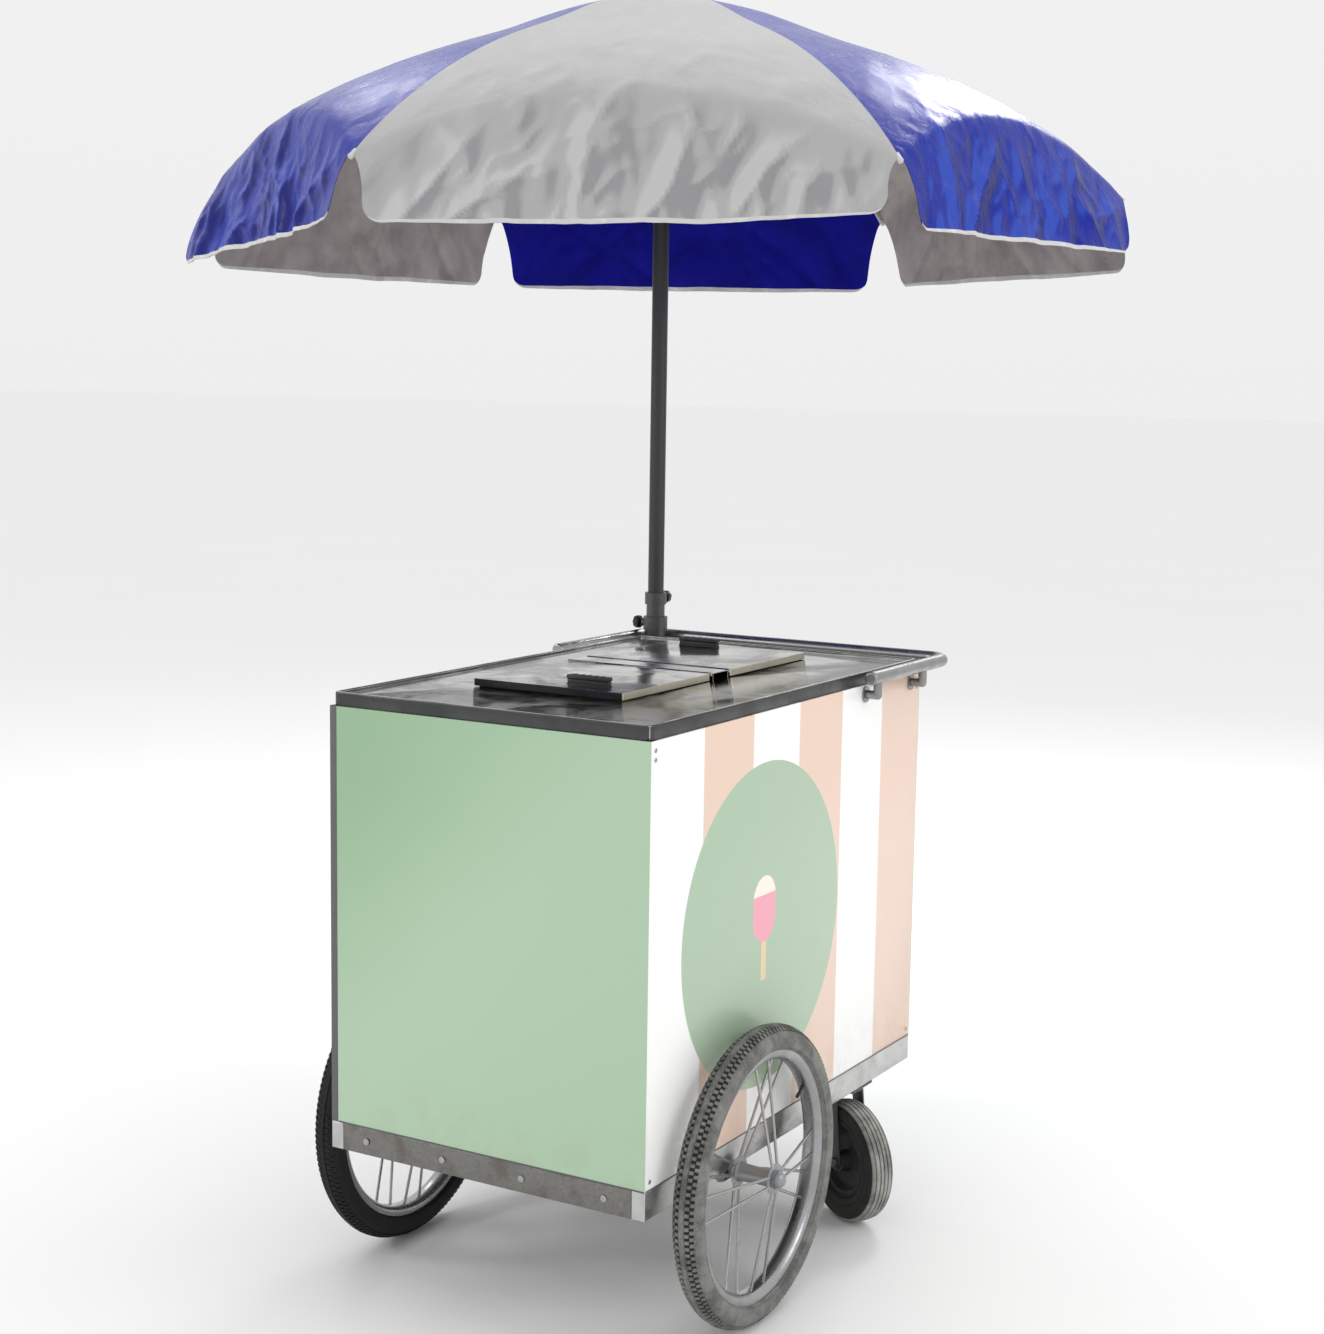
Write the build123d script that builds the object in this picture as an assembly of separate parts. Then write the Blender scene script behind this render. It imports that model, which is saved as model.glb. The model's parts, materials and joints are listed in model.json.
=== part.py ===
from build123d import *
import math
import os

os.makedirs("parts", exist_ok=True)

# Push vending cart with an umbrella. Millimetres. The origin is on the ground under the middle of the
# body: +X is the cart's right side, +Y its rear (the push end) and +Z is up.

# ---- body: driving sizes -------------------------------------------------------------------------
BODY_W = 632.0
BODY_L = 1010.0
RAIL_Z = 259.0
RAIL_H = 48.0
RAIL_W = 25.0
RAIL_WALL = 2.0
PANEL_TOP = 1033.0
PANEL_T = 1.5
FLANGE = 15.0
POST = 20.0
TRIM = 14.0
CUT_GAP = 0.3

# ---- deck, wells and lids ------------------------------------------------------------------------
DECK_TOP = 1057.0
DECK_T = 1.5
DECK_RECESS = 8.0
DECK_INSET = 3.0
BEAD_W = 8.0
DECK_CORNER_R = 14.0
LID_X = -36.0
LID_W = 306.0
LID_L = 304.0
LID_H = 14.0
LID_T = 1.5
LID_GAP = 1.5
STRIP_Y = 70.0
STRIP_W = 66.0
KNUCKLE_R = 3.5
HINGE_PIN_R = 1.5
RUNNING_FIT = 0.06
HINGE_GAP = 0.5
LEAF = 5.0
KNUCKLES = 5
WELL_MARGIN = 14.0
WELL_DEPTH = 430.0
TUB_T = 1.5
TUB_FLANGE = 8.0
SEAL_W = 6.0
SEAL_GAP = 0.3
PULL_W = 84.0
PULL_H = 17.0
PULL_LIP = 18.0
PULL_FOOT = 11.0
PULL_LIP_H = 7.0
PULL_SET_BACK = 45.0
PULL_OFFSET = 58.0
SCREW_R = 4.0
SCREW_H = 1.5
SCREW_PITCH = 15.0
PULL_FILLET = 2.0
FOAM_T = 45.0

# ---- big wheels ----------------------------------------------------------------------------------
WHEEL_R = 257.0
TYRE_TUBE_R = 27.0
WHEEL_STANDOFF = 49.0
AXLE_Y = -218.0
AXLE_R = 8.0
AXLE_FIT = 0.06
HUB_HALF = 38.0
HUB_R = 15.0
FLANGE_R = 27.0
FLANGE_T = 3.0
FLANGE_X = 34.0
SPOKES_PER_SIDE = 8
SPOKE_R = 2.6
SPOKE_CIRCLE_R = 22.0
SPOKE_SWEEP_DEG = 16.0
RIM_IN_R = 197.0
RIM_SEAT_R = 211.0
RIM_EDGE_R = 215.0
RIM_HALF_W = 18.0
RIM_BED_HALF = 9.0
RIM_EDGE_T = 2.5
CLAMP_H = 16.0
CLAMP_L = 48.0
NUT_BASE_R = 16.0
NUT_OUTLINE = ((0, 0), (0, NUT_BASE_R), (4, NUT_BASE_R), (4, 14), (9, 12.5), (13, 9), (15, 5), (15.5, 0))
SPACER_WALL = 4.0
AXLE_THREAD = 4.0

# ---- casters -------------------------------------------------------------------------------------
CASTER_R = 115.0
CASTER_W = 52.0
CASTER_TYRE_T = 47.0
CASTER_X = 274.0
CASTER_Y = 298.0
CASTER_TRAIL = 30.0
CASTER_HEADING = -29.5
CASTER_PLATE = 84.0
CASTER_PLATE_T = 4.0
RACE_R = 24.0
RACE_H = 6.0
KINGPIN_R = 6.0
FORK_T = 3.0
FORK_CLEAR = 3.0
FORK_CROWN_T = 4.0
CASTER_BOLT_R = 6.0
CASTER_HUB_R = 18.0
CASTER_WEB_HALF = 5.0
CASTER_LEDGE = 8.0
CASTER_SEAT_T = 4.0
CASTER_SHOULDER_R = 15.0
CASTER_NUT_R = 10.0
CASTER_NUT_H = 7.0
FORK_BACK = 12.0
FORK_FOOT_HALF = 13.0
FORK_FOOT_DROP = 15.0
KINGPIN_HEAD_H = 3.0
KINGPIN_HEAD_R = 10.0

# ---- push handle ---------------------------------------------------------------------------------
HANDLE_R = 12.5
HANDLE_WALL = 2.0
HANDLE_Z = 1050.0
HANDLE_SIDE_GAP = 25.0
HANDLE_REAR_GAP = 77.0
HANDLE_FRONT_Y = 235.0
HANDLE_BEND_R = 42.0
STANDOFF_R = 8.0
STANDOFF_FOOT_R = 15.0
STANDOFF_FOOT_T = 3.0
STANDOFF_Y = (262.0, 462.0)
STANDOFF_DROP = 2.0
END_CAP_L = 6.0
END_CAP_FILLET = 4.0

# ---- umbrella pole -------------------------------------------------------------------------------
POLE_X = -302.0
POLE_Y = 542.0
POLE_FIT = 0.3
LOWER_POLE_R = 19.0
UPPER_POLE_R = 16.4
UPPER_POLE_WALL = 1.5
SOCKET_WALL = 2.7
SOCKET_BOTTOM = 712.0
SOCKET_FLOOR = 8.0
SOCKET_TOP = 1064.0
COLLAR_R = 25.0
COLLAR_H = 28.0
SLEEVE_TOP = 1142.0
SLEEVE_COLLAR_R = 22.5
SLEEVE_COLLAR_H = 24.0
UPPER_POLE_BOTTOM = 960.0
KNOB_R = 13.0
KNOB_H = 16.0
KNOB_SCREW_R = 4.0
KNOB_GAP = 9.0
BRACKET_HALF_W = 14.0
BRACKET_HALF_H = 15.0
BRACKET_REACH = 46.0
BRACKET_T = 4.0
BRACKET_FROM_END = 60.0

# ---- umbrella frame and cover --------------------------------------------------------------------
RIBS = 6
FIRST_RIB_DEG = -94.0
DOME_R = 1430.0
APEX_Z = 2295.0
COVER_T = 2.0
COVER_REACH = 924.0
HEM_Z = 1840.0
NOTCH = 34.0
NOTCH_R = 26.0
COVER_GAP = 0.15
COVER_HOLE_R = 9.0
RIB_DEPTH = 8.0
RIB_T = 5.0
RIB_CLEAR = 1.0
RIB_TIP_R = 914.0
PIVOT_R = 26.0
PIVOT_PIN_R = 1.5
EYE_R = 4.5
EAR_T = 2.5
CROWN_R = 20.0
CROWN_H = 34.0
LUG_R = 480.0
LUG_DROP = 10.0
STRETCHER_T = 3.0
STRETCHER_H = 7.0
SIDE_GAP = 0.5
RUNNER_R = 20.4
RUNNER_H = 48.0
FINIAL_R = 16.0
FINIAL_H = 34.0
FINIAL_STEM_R = 6.0
FINIAL_BASE_H = 5.0
FINIAL_NECK_R = 9.0
FINIAL_NECK_H = 12.0

# ---- worked out ----------------------------------------------------------------------------------
HALF_W = BODY_W / 2
HALF_L = BODY_L / 2
RAIL_TOP = RAIL_Z + RAIL_H
PLATE_TOP = DECK_TOP - DECK_RECESS
PLATE_UNDER = PLATE_TOP - DECK_T
LID_TOP = PLATE_TOP + LID_H
HINGE_Z = LID_TOP - KNUCKLE_R + LID_T
FRONT_HINGE_Y = STRIP_Y - STRIP_W / 2
REAR_HINGE_Y = STRIP_Y + STRIP_W / 2
LID_SPAN = LID_L - LEAF
WELL_W = LID_W - 2 * WELL_MARGIN
WELL_L = LID_SPAN - 2 * WELL_MARGIN
WHEEL_X = HALF_W + WHEEL_STANDOFF
CASTER_CORE_R = CASTER_R - CASTER_TYRE_T
CASTER_SHOULDER = min(CASTER_SHOULDER_R, CASTER_TYRE_T / 2.5, CASTER_W / 2.5)
TORUS_R = WHEEL_R - TYRE_TUBE_R
SOCKET_BORE_R = LOWER_POLE_R + POLE_FIT
SLEEVE_BORE_R = UPPER_POLE_R + POLE_FIT
DOME_Z = APEX_Z - DOME_R
RIB_OUT_R = DOME_R - COVER_T - RIB_CLEAR
RIB_MID_R = RIB_OUT_R - RIB_DEPTH / 2
PIVOT_Z = DOME_Z + math.sqrt(RIB_MID_R**2 - PIVOT_R**2)
LUG_Z = DOME_Z + math.sqrt((RIB_MID_R - LUG_DROP) ** 2 - LUG_R**2)
RUNNER_Z = 2 * LUG_Z - PIVOT_Z
STRETCHER_L = math.hypot(LUG_R - PIVOT_R, PIVOT_Z - LUG_Z)
RIB_ANGLES = [FIRST_RIB_DEG + 360 / RIBS * k for k in range(RIBS)]


def block(x0, x1, y0, y1, z0, z1):
    """A box between two corners."""
    return Pos((x0 + x1) / 2, (y0 + y1) / 2, (z0 + z1) / 2) * Box(abs(x1 - x0), abs(y1 - y0), abs(z1 - z0))


def rod(start, end, radius):
    """A round bar from one point to another."""
    start, end = Vector(*start), Vector(*end)
    along = end - start
    return Plane(origin=start, z_dir=along) * Cylinder(
        radius, along.length, align=(Align.CENTER, Align.CENTER, Align.MIN)
    )


def turned(points):
    """A solid turned about the X axis from an outline of (x, radius) points."""
    outline = Polyline(*points, close=True)
    return revolve(make_face(outline), Axis.X, 360)


def save(name, *shapes):
    """Write one node as separate solids."""
    solids = [s for shape in shapes for s in shape.solids()]
    export_step(Compound(solids), f"parts/{name}.step")


def square_tube(x0, x1, y0, y1, z0, z1, along):
    """A rectangular tube with open ends, running along X or Y."""
    outer = block(x0, x1, y0, y1, z0, z1)
    w = RAIL_WALL
    dx, dy = (0, w) if along == "X" else (w, 0)
    return outer - block(x0 + dx, x1 - dx, y0 + dy, y1 - dy, z0 + w, z1 - w)


# ---- base frame ----------------------------------------------------------------------------------
def build_base_frame():
    axle_seat = rod((-HALF_W, AXLE_Y, WHEEL_R), (HALF_W, AXLE_Y, WHEEL_R), AXLE_R)
    inner = HALF_W - RAIL_W
    tubes = []
    for s in (-1, 1):
        x0, x1 = sorted((s * inner, s * HALF_W))
        tubes.append(square_tube(x0, x1, -HALF_L, HALF_L, RAIL_Z, RAIL_TOP, "Y"))
    for y in (-HALF_L + RAIL_W / 2, AXLE_Y, CASTER_Y, HALF_L - RAIL_W / 2):
        tubes.append(square_tube(-inner, inner, y - RAIL_W / 2, y + RAIL_W / 2, RAIL_Z, RAIL_TOP, "X"))
    save("base_frame", *[tube - axle_seat for tube in tubes])
    clamps = []
    for s in (-1, 1):
        x0, x1 = sorted((s * inner, s * HALF_W))
        body = block(x0, x1, AXLE_Y - CLAMP_L / 2, AXLE_Y + CLAMP_L / 2, RAIL_Z - CLAMP_H, RAIL_Z)
        clamps.append(body - axle_seat)
        for side in (-1, 1):
            y = AXLE_Y + side * CLAMP_L / 3
            x = (x0 + x1) / 2
            clamps.append(rod((x, y, RAIL_Z - CLAMP_H - SCREW_R), (x, y, RAIL_Z - CLAMP_H), SCREW_R * 1.5))
    save("axle_clamps", *clamps)


# ---- body ----------------------------------------------------------------------------------------
def build_body():
    save("floor_pan", block(-HALF_W + PANEL_T, HALF_W - PANEL_T, -HALF_L + PANEL_T, HALF_L - PANEL_T,
                            RAIL_TOP, RAIL_TOP + PANEL_T))
    inner_x, inner_y = HALF_W - PANEL_T, HALF_L - PANEL_T
    floor = RAIL_TOP + PANEL_T
    posts = []
    for sx in (-1, 1):
        for sy in (-1, 1):
            x0, x1 = sorted((sx * inner_x, sx * (inner_x - POST)))
            y0, y1 = sorted((sy * inner_y, sy * (inner_y - POST)))
            posts.append(block(x0, x1, y0, y1, floor, PANEL_TOP))
    for sy in (-1, 1):
        y0, y1 = sorted((sy * inner_y, sy * HALF_L))
        posts.append(block(-HALF_W, -HALF_W + TRIM, y0, y1, RAIL_TOP, PANEL_TOP))
        y0, y1 = sorted((sy * inner_y, sy * (inner_y - TRIM)))
        posts.append(block(-HALF_W, -inner_x, y0, y1, RAIL_TOP, PANEL_TOP))
    save("corner_posts", *posts)

    for name, sy in (("front_panel", -1), ("rear_panel", 1)):
        y0, y1 = sorted((sy * inner_y, sy * HALF_L))
        f0, f1 = sorted((sy * inner_y, sy * (inner_y - FLANGE)))
        reach = inner_x - POST - CUT_GAP
        sheet = block(-HALF_W + TRIM, HALF_W, y0, y1, RAIL_TOP, PANEL_TOP)
        top = block(-reach, reach, f0, f1, PANEL_TOP - PANEL_T, PANEL_TOP)
        foot = block(-reach, reach, f0, f1, floor, floor + PANEL_T)
        save(name, sheet + top + foot)
    for name, sx in (("left_side_panel", -1), ("right_side_panel", 1)):
        x0, x1 = sorted((sx * inner_x, sx * HALF_W))
        f0, f1 = sorted((sx * inner_x, sx * (inner_x - FLANGE)))
        end = inner_y - TRIM if sx < 0 else inner_y
        reach = inner_y - POST - CUT_GAP
        sheet = block(x0, x1, -end, end, RAIL_TOP, PANEL_TOP)
        top = block(f0, f1, -reach, reach, PANEL_TOP - PANEL_T, PANEL_TOP)
        foot = block(f0, f1, -reach, reach, floor, floor + PANEL_T)
        save(name, sheet + top + foot)

    screws = []
    for sx in (-1, 1):
        for sy in (-1, 1):
            y = sy * (HALF_L - TRIM)
            for z in (PANEL_TOP - SCREW_PITCH, PANEL_TOP - 2 * SCREW_PITCH, RAIL_TOP + SCREW_PITCH):
                screws.append(rod((sx * HALF_W, y, z), (sx * (HALF_W + SCREW_H), y, z), SCREW_R))
    save("panel_screws", *screws)


def well_box(centre_y, top, bottom, grow=0.0):
    """The space of one well, as a solid."""
    half_w, half_l = WELL_W / 2 + grow, WELL_L / 2 + grow
    return block(LID_X - half_w, LID_X + half_w, centre_y - half_l, centre_y + half_l, bottom, top)


FRONT_WELL_Y = FRONT_HINGE_Y - LEAF - LID_SPAN / 2
REAR_WELL_Y = REAR_HINGE_Y + LEAF + LID_SPAN / 2


def build_wells():
    floor = PLATE_UNDER - WELL_DEPTH
    foam_top = PLATE_UNDER - TUB_T
    half_w, half_l = WELL_W / 2 + FOAM_T, WELL_L / 2 + FOAM_T
    foam = block(LID_X - half_w, LID_X + half_w, FRONT_WELL_Y - half_l, REAR_WELL_Y + half_l,
                 floor - FOAM_T, foam_top)
    seals = []
    for name, y in (("front_tub", FRONT_WELL_Y), ("rear_tub", REAR_WELL_Y)):
        outside = well_box(y, PLATE_UNDER, floor - TUB_T, TUB_T)
        lip = well_box(y, PLATE_UNDER, foam_top, TUB_FLANGE)
        save(name, outside + lip - well_box(y, PLATE_UNDER, floor))
        foam -= outside
        seal_top = LID_TOP - LID_T - SEAL_GAP
        ring = well_box(y, seal_top, PLATE_TOP, SEAL_W) - well_box(y, seal_top, PLATE_TOP)
        seals.append(ring)
    save("insulation", foam)
    save("lid_seals", *seals)


def build_deck():
    half_w, half_l = HALF_W - DECK_INSET, HALF_L - DECK_INSET
    sheet = block(-half_w, half_w, -half_l, half_l, PANEL_TOP, DECK_TOP)
    sheet = fillet(sheet.edges().filter_by(Axis.Z), DECK_CORNER_R)
    under = block(-half_w + DECK_T, half_w - DECK_T, -half_l + DECK_T, half_l - DECK_T,
                  PANEL_TOP, PLATE_UNDER)
    under = fillet(under.edges().filter_by(Axis.Z), DECK_CORNER_R - DECK_T)
    over = block(-half_w + BEAD_W, half_w - BEAD_W, -half_l + BEAD_W, half_l - BEAD_W, PLATE_TOP, DECK_TOP)
    over = fillet(over.edges().filter_by(Axis.Z), DECK_CORNER_R - BEAD_W)
    sheet = sheet - under - over
    for y in (FRONT_WELL_Y, REAR_WELL_Y):
        sheet -= well_box(y, DECK_TOP, PLATE_UNDER - 1)
    rim = sheet.edges().group_by(Axis.Z)[-1]
    save("deck", fillet(rim, BEAD_W / 3))


# ---- lids ----------------------------------------------------------------------------------------
def knuckle_span(i):
    """Start and end of one hinge knuckle along X, with its gap at each end."""
    pitch = LID_W / KNUCKLES
    x0 = LID_X - LID_W / 2 + i * pitch
    return x0 + HINGE_GAP / 2, x0 + pitch - HINGE_GAP / 2


def hinge_leaf(y, towards, odd):
    """Knuckles with their leaf, on one side of a hinge line."""
    parts = []
    for i in range(KNUCKLES):
        if i % 2 != odd:
            continue
        x0, x1 = knuckle_span(i)
        y0, y1 = sorted((y, y + towards * (LEAF + LID_T)))
        barrel = rod((x0, y, HINGE_Z), (x1, y, HINGE_Z), KNUCKLE_R)
        barrel += block(x0, x1, y0, y1, LID_TOP - LID_T, LID_TOP)
        parts.append(barrel - rod((x0, y, HINGE_Z), (x1, y, HINGE_Z), HINGE_PIN_R + RUNNING_FIT))
    return parts


def build_lids():
    x0, x1 = LID_X - LID_W / 2, LID_X + LID_W / 2
    strip = block(x0, x1, FRONT_HINGE_Y + LEAF, REAR_HINGE_Y - LEAF, PLATE_TOP, LID_TOP)
    strip -= block(x0 - 1, x1 + 1, FRONT_HINGE_Y + LEAF + LID_T, REAR_HINGE_Y - LEAF - LID_T,
                   PLATE_TOP, LID_TOP - LID_T)
    pins = []
    for y, side in ((FRONT_HINGE_Y, 1), (REAR_HINGE_Y, -1)):
        for piece in hinge_leaf(y, side, 0):
            strip += piece
        pins.append(rod((x0, y, HINGE_Z), (x1, y, HINGE_Z), HINGE_PIN_R))
    save("hinge_strip", strip - pins[0] - pins[1], *pins)

    for name, y, side in (("front", FRONT_HINGE_Y, -1), ("rear", REAR_HINGE_Y, 1)):
        near, far = y + side * LEAF, y + side * LID_L
        y0, y1 = sorted((near, far))
        lid = block(x0, x1, y0, y1, PLATE_TOP + LID_GAP, LID_TOP)
        lid = fillet(lid.edges().filter_by(Axis.Z), KNUCKLE_R)
        lid -= block(x0 + LID_T, x1 - LID_T, y0 + LID_T, y1 - LID_T, PLATE_TOP, LID_TOP - LID_T)
        for piece in hinge_leaf(y, side, 1):
            lid += piece
        save(f"{name}_lid", lid)
        py = far - side * PULL_SET_BACK
        px = LID_X - side * PULL_OFFSET
        foot = block(px - PULL_W / 2, px + PULL_W / 2, py - PULL_FOOT / 2, py + PULL_FOOT / 2,
                     LID_TOP, LID_TOP + PULL_H)
        lip = block(px - PULL_W / 2, px + PULL_W / 2, py - PULL_LIP / 2, py + PULL_LIP / 2,
                    LID_TOP + PULL_H - PULL_LIP_H, LID_TOP + PULL_H)
        pull = foot + lip
        save(f"{name}_lid_pull", fillet(pull.edges().group_by(Axis.Z)[-1], PULL_FILLET))


# ---- big wheels ----------------------------------------------------------------------------------
def build_rim():
    return turned([
        (-RIM_HALF_W, RIM_EDGE_R), (-RIM_HALF_W + RIM_EDGE_T, RIM_EDGE_R),
        (-RIM_HALF_W + RIM_EDGE_T, RIM_SEAT_R), (RIM_HALF_W - RIM_EDGE_T, RIM_SEAT_R),
        (RIM_HALF_W - RIM_EDGE_T, RIM_EDGE_R), (RIM_HALF_W, RIM_EDGE_R),
        (RIM_HALF_W, RIM_SEAT_R - RIM_EDGE_T), (RIM_BED_HALF, RIM_IN_R),
        (-RIM_BED_HALF, RIM_IN_R), (-RIM_HALF_W, RIM_SEAT_R - RIM_EDGE_T),
    ])


def build_tyre():
    section = Pos(0, TORUS_R) * Circle(TYRE_TUBE_R)
    bed = Pos(0, RIM_SEAT_R - TYRE_TUBE_R) * Rectangle(4 * TYRE_TUBE_R, 2 * TYRE_TUBE_R)
    edge_mid = RIM_HALF_W - RIM_EDGE_T / 2
    edge_top = (RIM_EDGE_R + RIM_SEAT_R) / 2 - 1
    edges = [Pos(s * (edge_mid + TYRE_TUBE_R / 2), edge_top) * Rectangle(
        RIM_EDGE_T + TYRE_TUBE_R, RIM_EDGE_R - RIM_SEAT_R + 2) for s in (-1, 1)]
    return revolve(section - bed - edges[0] - edges[1], Axis.X, 360)


def build_hub():
    hub = turned([
        (-HUB_HALF, 0), (-HUB_HALF, HUB_R - 2), (-FLANGE_X - FLANGE_T / 2, HUB_R),
        (-FLANGE_X - FLANGE_T / 2, FLANGE_R), (-FLANGE_X + FLANGE_T / 2, FLANGE_R),
        (-FLANGE_X + FLANGE_T / 2, HUB_R), (FLANGE_X - FLANGE_T / 2, HUB_R),
        (FLANGE_X - FLANGE_T / 2, FLANGE_R), (FLANGE_X + FLANGE_T / 2, FLANGE_R),
        (FLANGE_X + FLANGE_T / 2, HUB_R), (HUB_HALF, HUB_R - 2), (HUB_HALF, 0),
    ])
    return hub - rod((-HUB_HALF - 1, 0, 0), (HUB_HALF + 1, 0, 0), AXLE_R + AXLE_FIT)


def build_spokes():
    spokes = []
    step = 360 / SPOKES_PER_SIDE
    for side in (-1, 1):
        for i in range(SPOKES_PER_SIDE):
            at_hub = math.radians(i * step + (step / 2 if side > 0 else 0))
            lean = SPOKE_SWEEP_DEG if i % 2 else -SPOKE_SWEEP_DEG
            at_rim = at_hub + math.radians(lean)
            hub_x = side * FLANGE_X
            rim_x = side * RIM_BED_HALF / 2
            start = (hub_x, SPOKE_CIRCLE_R * math.cos(at_hub), SPOKE_CIRCLE_R * math.sin(at_hub))
            end = (rim_x, (RIM_IN_R + 1) * math.cos(at_rim), (RIM_IN_R + 1) * math.sin(at_rim))
            spokes.append(rod(start, end, SPOKE_R))
    return spokes


def build_wheels():
    rim, tyre, hub, spokes = build_rim(), build_tyre(), build_hub(), build_spokes()
    for side, sign in (("left", -1), ("right", 1)):
        place = Pos(sign * WHEEL_X, AXLE_Y, WHEEL_R)
        save(f"{side}_wheel_rim", place * rim)
        save(f"{side}_wheel_tyre", place * tyre)
        save(f"{side}_wheel_hub", place * hub)
        save(f"{side}_wheel_spokes", *[place * spoke for spoke in spokes])
    nut_face = WHEEL_X + HUB_HALF + CUT_GAP
    axle_end = nut_face + AXLE_THREAD
    axle = [rod((-axle_end, AXLE_Y, WHEEL_R), (axle_end, AXLE_Y, WHEEL_R), AXLE_R)]
    for s in (-1, 1):
        dome = turned(NUT_OUTLINE)
        spacer_end = WHEEL_X - HUB_HALF - CUT_GAP
        if s < 0:
            dome = Rot(0, 0, 180) * dome
        axle.append(Pos(s * nut_face, AXLE_Y, WHEEL_R) * dome - axle[0])
        spacer = rod((s * HALF_W, AXLE_Y, WHEEL_R), (s * spacer_end, AXLE_Y, WHEEL_R), AXLE_R + SPACER_WALL)
        axle.append(spacer - axle[0])
    save("axle", *axle)


# ---- casters -------------------------------------------------------------------------------------
def build_casters():
    crown_top = RAIL_Z - CASTER_PLATE_T - RACE_H
    crown_low = crown_top - CUT_GAP - FORK_CROWN_T
    leg_y = CASTER_W / 2 + FORK_CLEAR
    bolt_end = leg_y + FORK_T
    half = CASTER_PLATE / 2
    plate = block(-half, half, -half, half, RAIL_Z - CASTER_PLATE_T, RAIL_Z)
    plate += rod((0, 0, crown_top), (0, 0, RAIL_Z - CASTER_PLATE_T), RACE_R)
    head_low = crown_low - CUT_GAP - KINGPIN_HEAD_H
    plate += rod((0, 0, head_low), (0, 0, crown_top), KINGPIN_R)
    plate += rod((0, 0, head_low), (0, 0, crown_low - CUT_GAP), KINGPIN_HEAD_R)

    crown = rod((0, 0, crown_low), (0, 0, crown_top - CUT_GAP), RACE_R + 2)
    crown += block(-FORK_BACK, RACE_R, -bolt_end, bolt_end, crown_low, crown_top - CUT_GAP)
    crown -= rod((0, 0, crown_low - 1), (0, 0, crown_top), KINGPIN_R + RUNNING_FIT)
    fork = crown
    for s in (-1, 1):
        outline = make_face(Polyline(
            (-FORK_BACK, crown_low + FORK_CROWN_T / 2), (RACE_R, crown_low + FORK_CROWN_T / 2),
            (CASTER_TRAIL + FORK_FOOT_HALF, CASTER_R), (CASTER_TRAIL, CASTER_R - FORK_FOOT_DROP),
            (CASTER_TRAIL - FORK_FOOT_HALF, CASTER_R),
            close=True))
        leg = extrude(Plane.XZ * outline, amount=FORK_T)
        y_edge = s * leg_y if s < 0 else bolt_end
        fork += Pos(0, y_edge, 0) * leg
    axle_hole = rod((CASTER_TRAIL, -bolt_end, CASTER_R), (CASTER_TRAIL, bolt_end, CASTER_R), CASTER_BOLT_R)
    fork -= axle_hole
    bolt = axle_hole
    for s in (-1, 1):
        y0, y1 = sorted((s * bolt_end, s * (bolt_end + CASTER_NUT_H)))
        bolt += Pos(CASTER_TRAIL, (y0 + y1) / 2, CASTER_R) * Rot(90, 0, 0) * extrude(
            RegularPolygon(CASTER_NUT_R, 6), amount=(y1 - y0) / 2, both=True)

    hub_half = leg_y - SIDE_GAP
    seat_half, seat_low = CASTER_W / 3, CASTER_CORE_R - CASTER_SEAT_T
    half_profile = [(hub_half, 0), (hub_half, CASTER_HUB_R), (CASTER_WEB_HALF, CASTER_HUB_R + 2),
                    (CASTER_WEB_HALF, CASTER_CORE_R - CASTER_LEDGE), (seat_half, seat_low),
                    (seat_half, CASTER_CORE_R)]
    core = turned([(-x, r) for x, r in half_profile] + half_profile[::-1])
    core -= rod((-hub_half - 1, 0, 0), (hub_half + 1, 0, 0), CASTER_BOLT_R + RUNNING_FIT)
    section = Pos(0, (CASTER_CORE_R + CASTER_R) / 2) * RectangleRounded(
        CASTER_W, CASTER_TYRE_T, CASTER_SHOULDER)
    tyre = revolve(section, Axis.X, 360)
    at_axle = Pos(CASTER_TRAIL, 0, CASTER_R) * Rot(0, 0, 90)
    for side, sign in (("left", -1), ("right", 1)):
        here = Pos(sign * CASTER_X, CASTER_Y, 0)
        swivel = here * Rot(0, 0, CASTER_HEADING)
        save(f"{side}_caster_plate", here * plate)
        save(f"{side}_caster_fork", swivel * fork, swivel * bolt)
        save(f"{side}_caster_core", swivel * at_axle * core)
        save(f"{side}_caster_tyre", swivel * at_axle * tyre)


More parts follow.
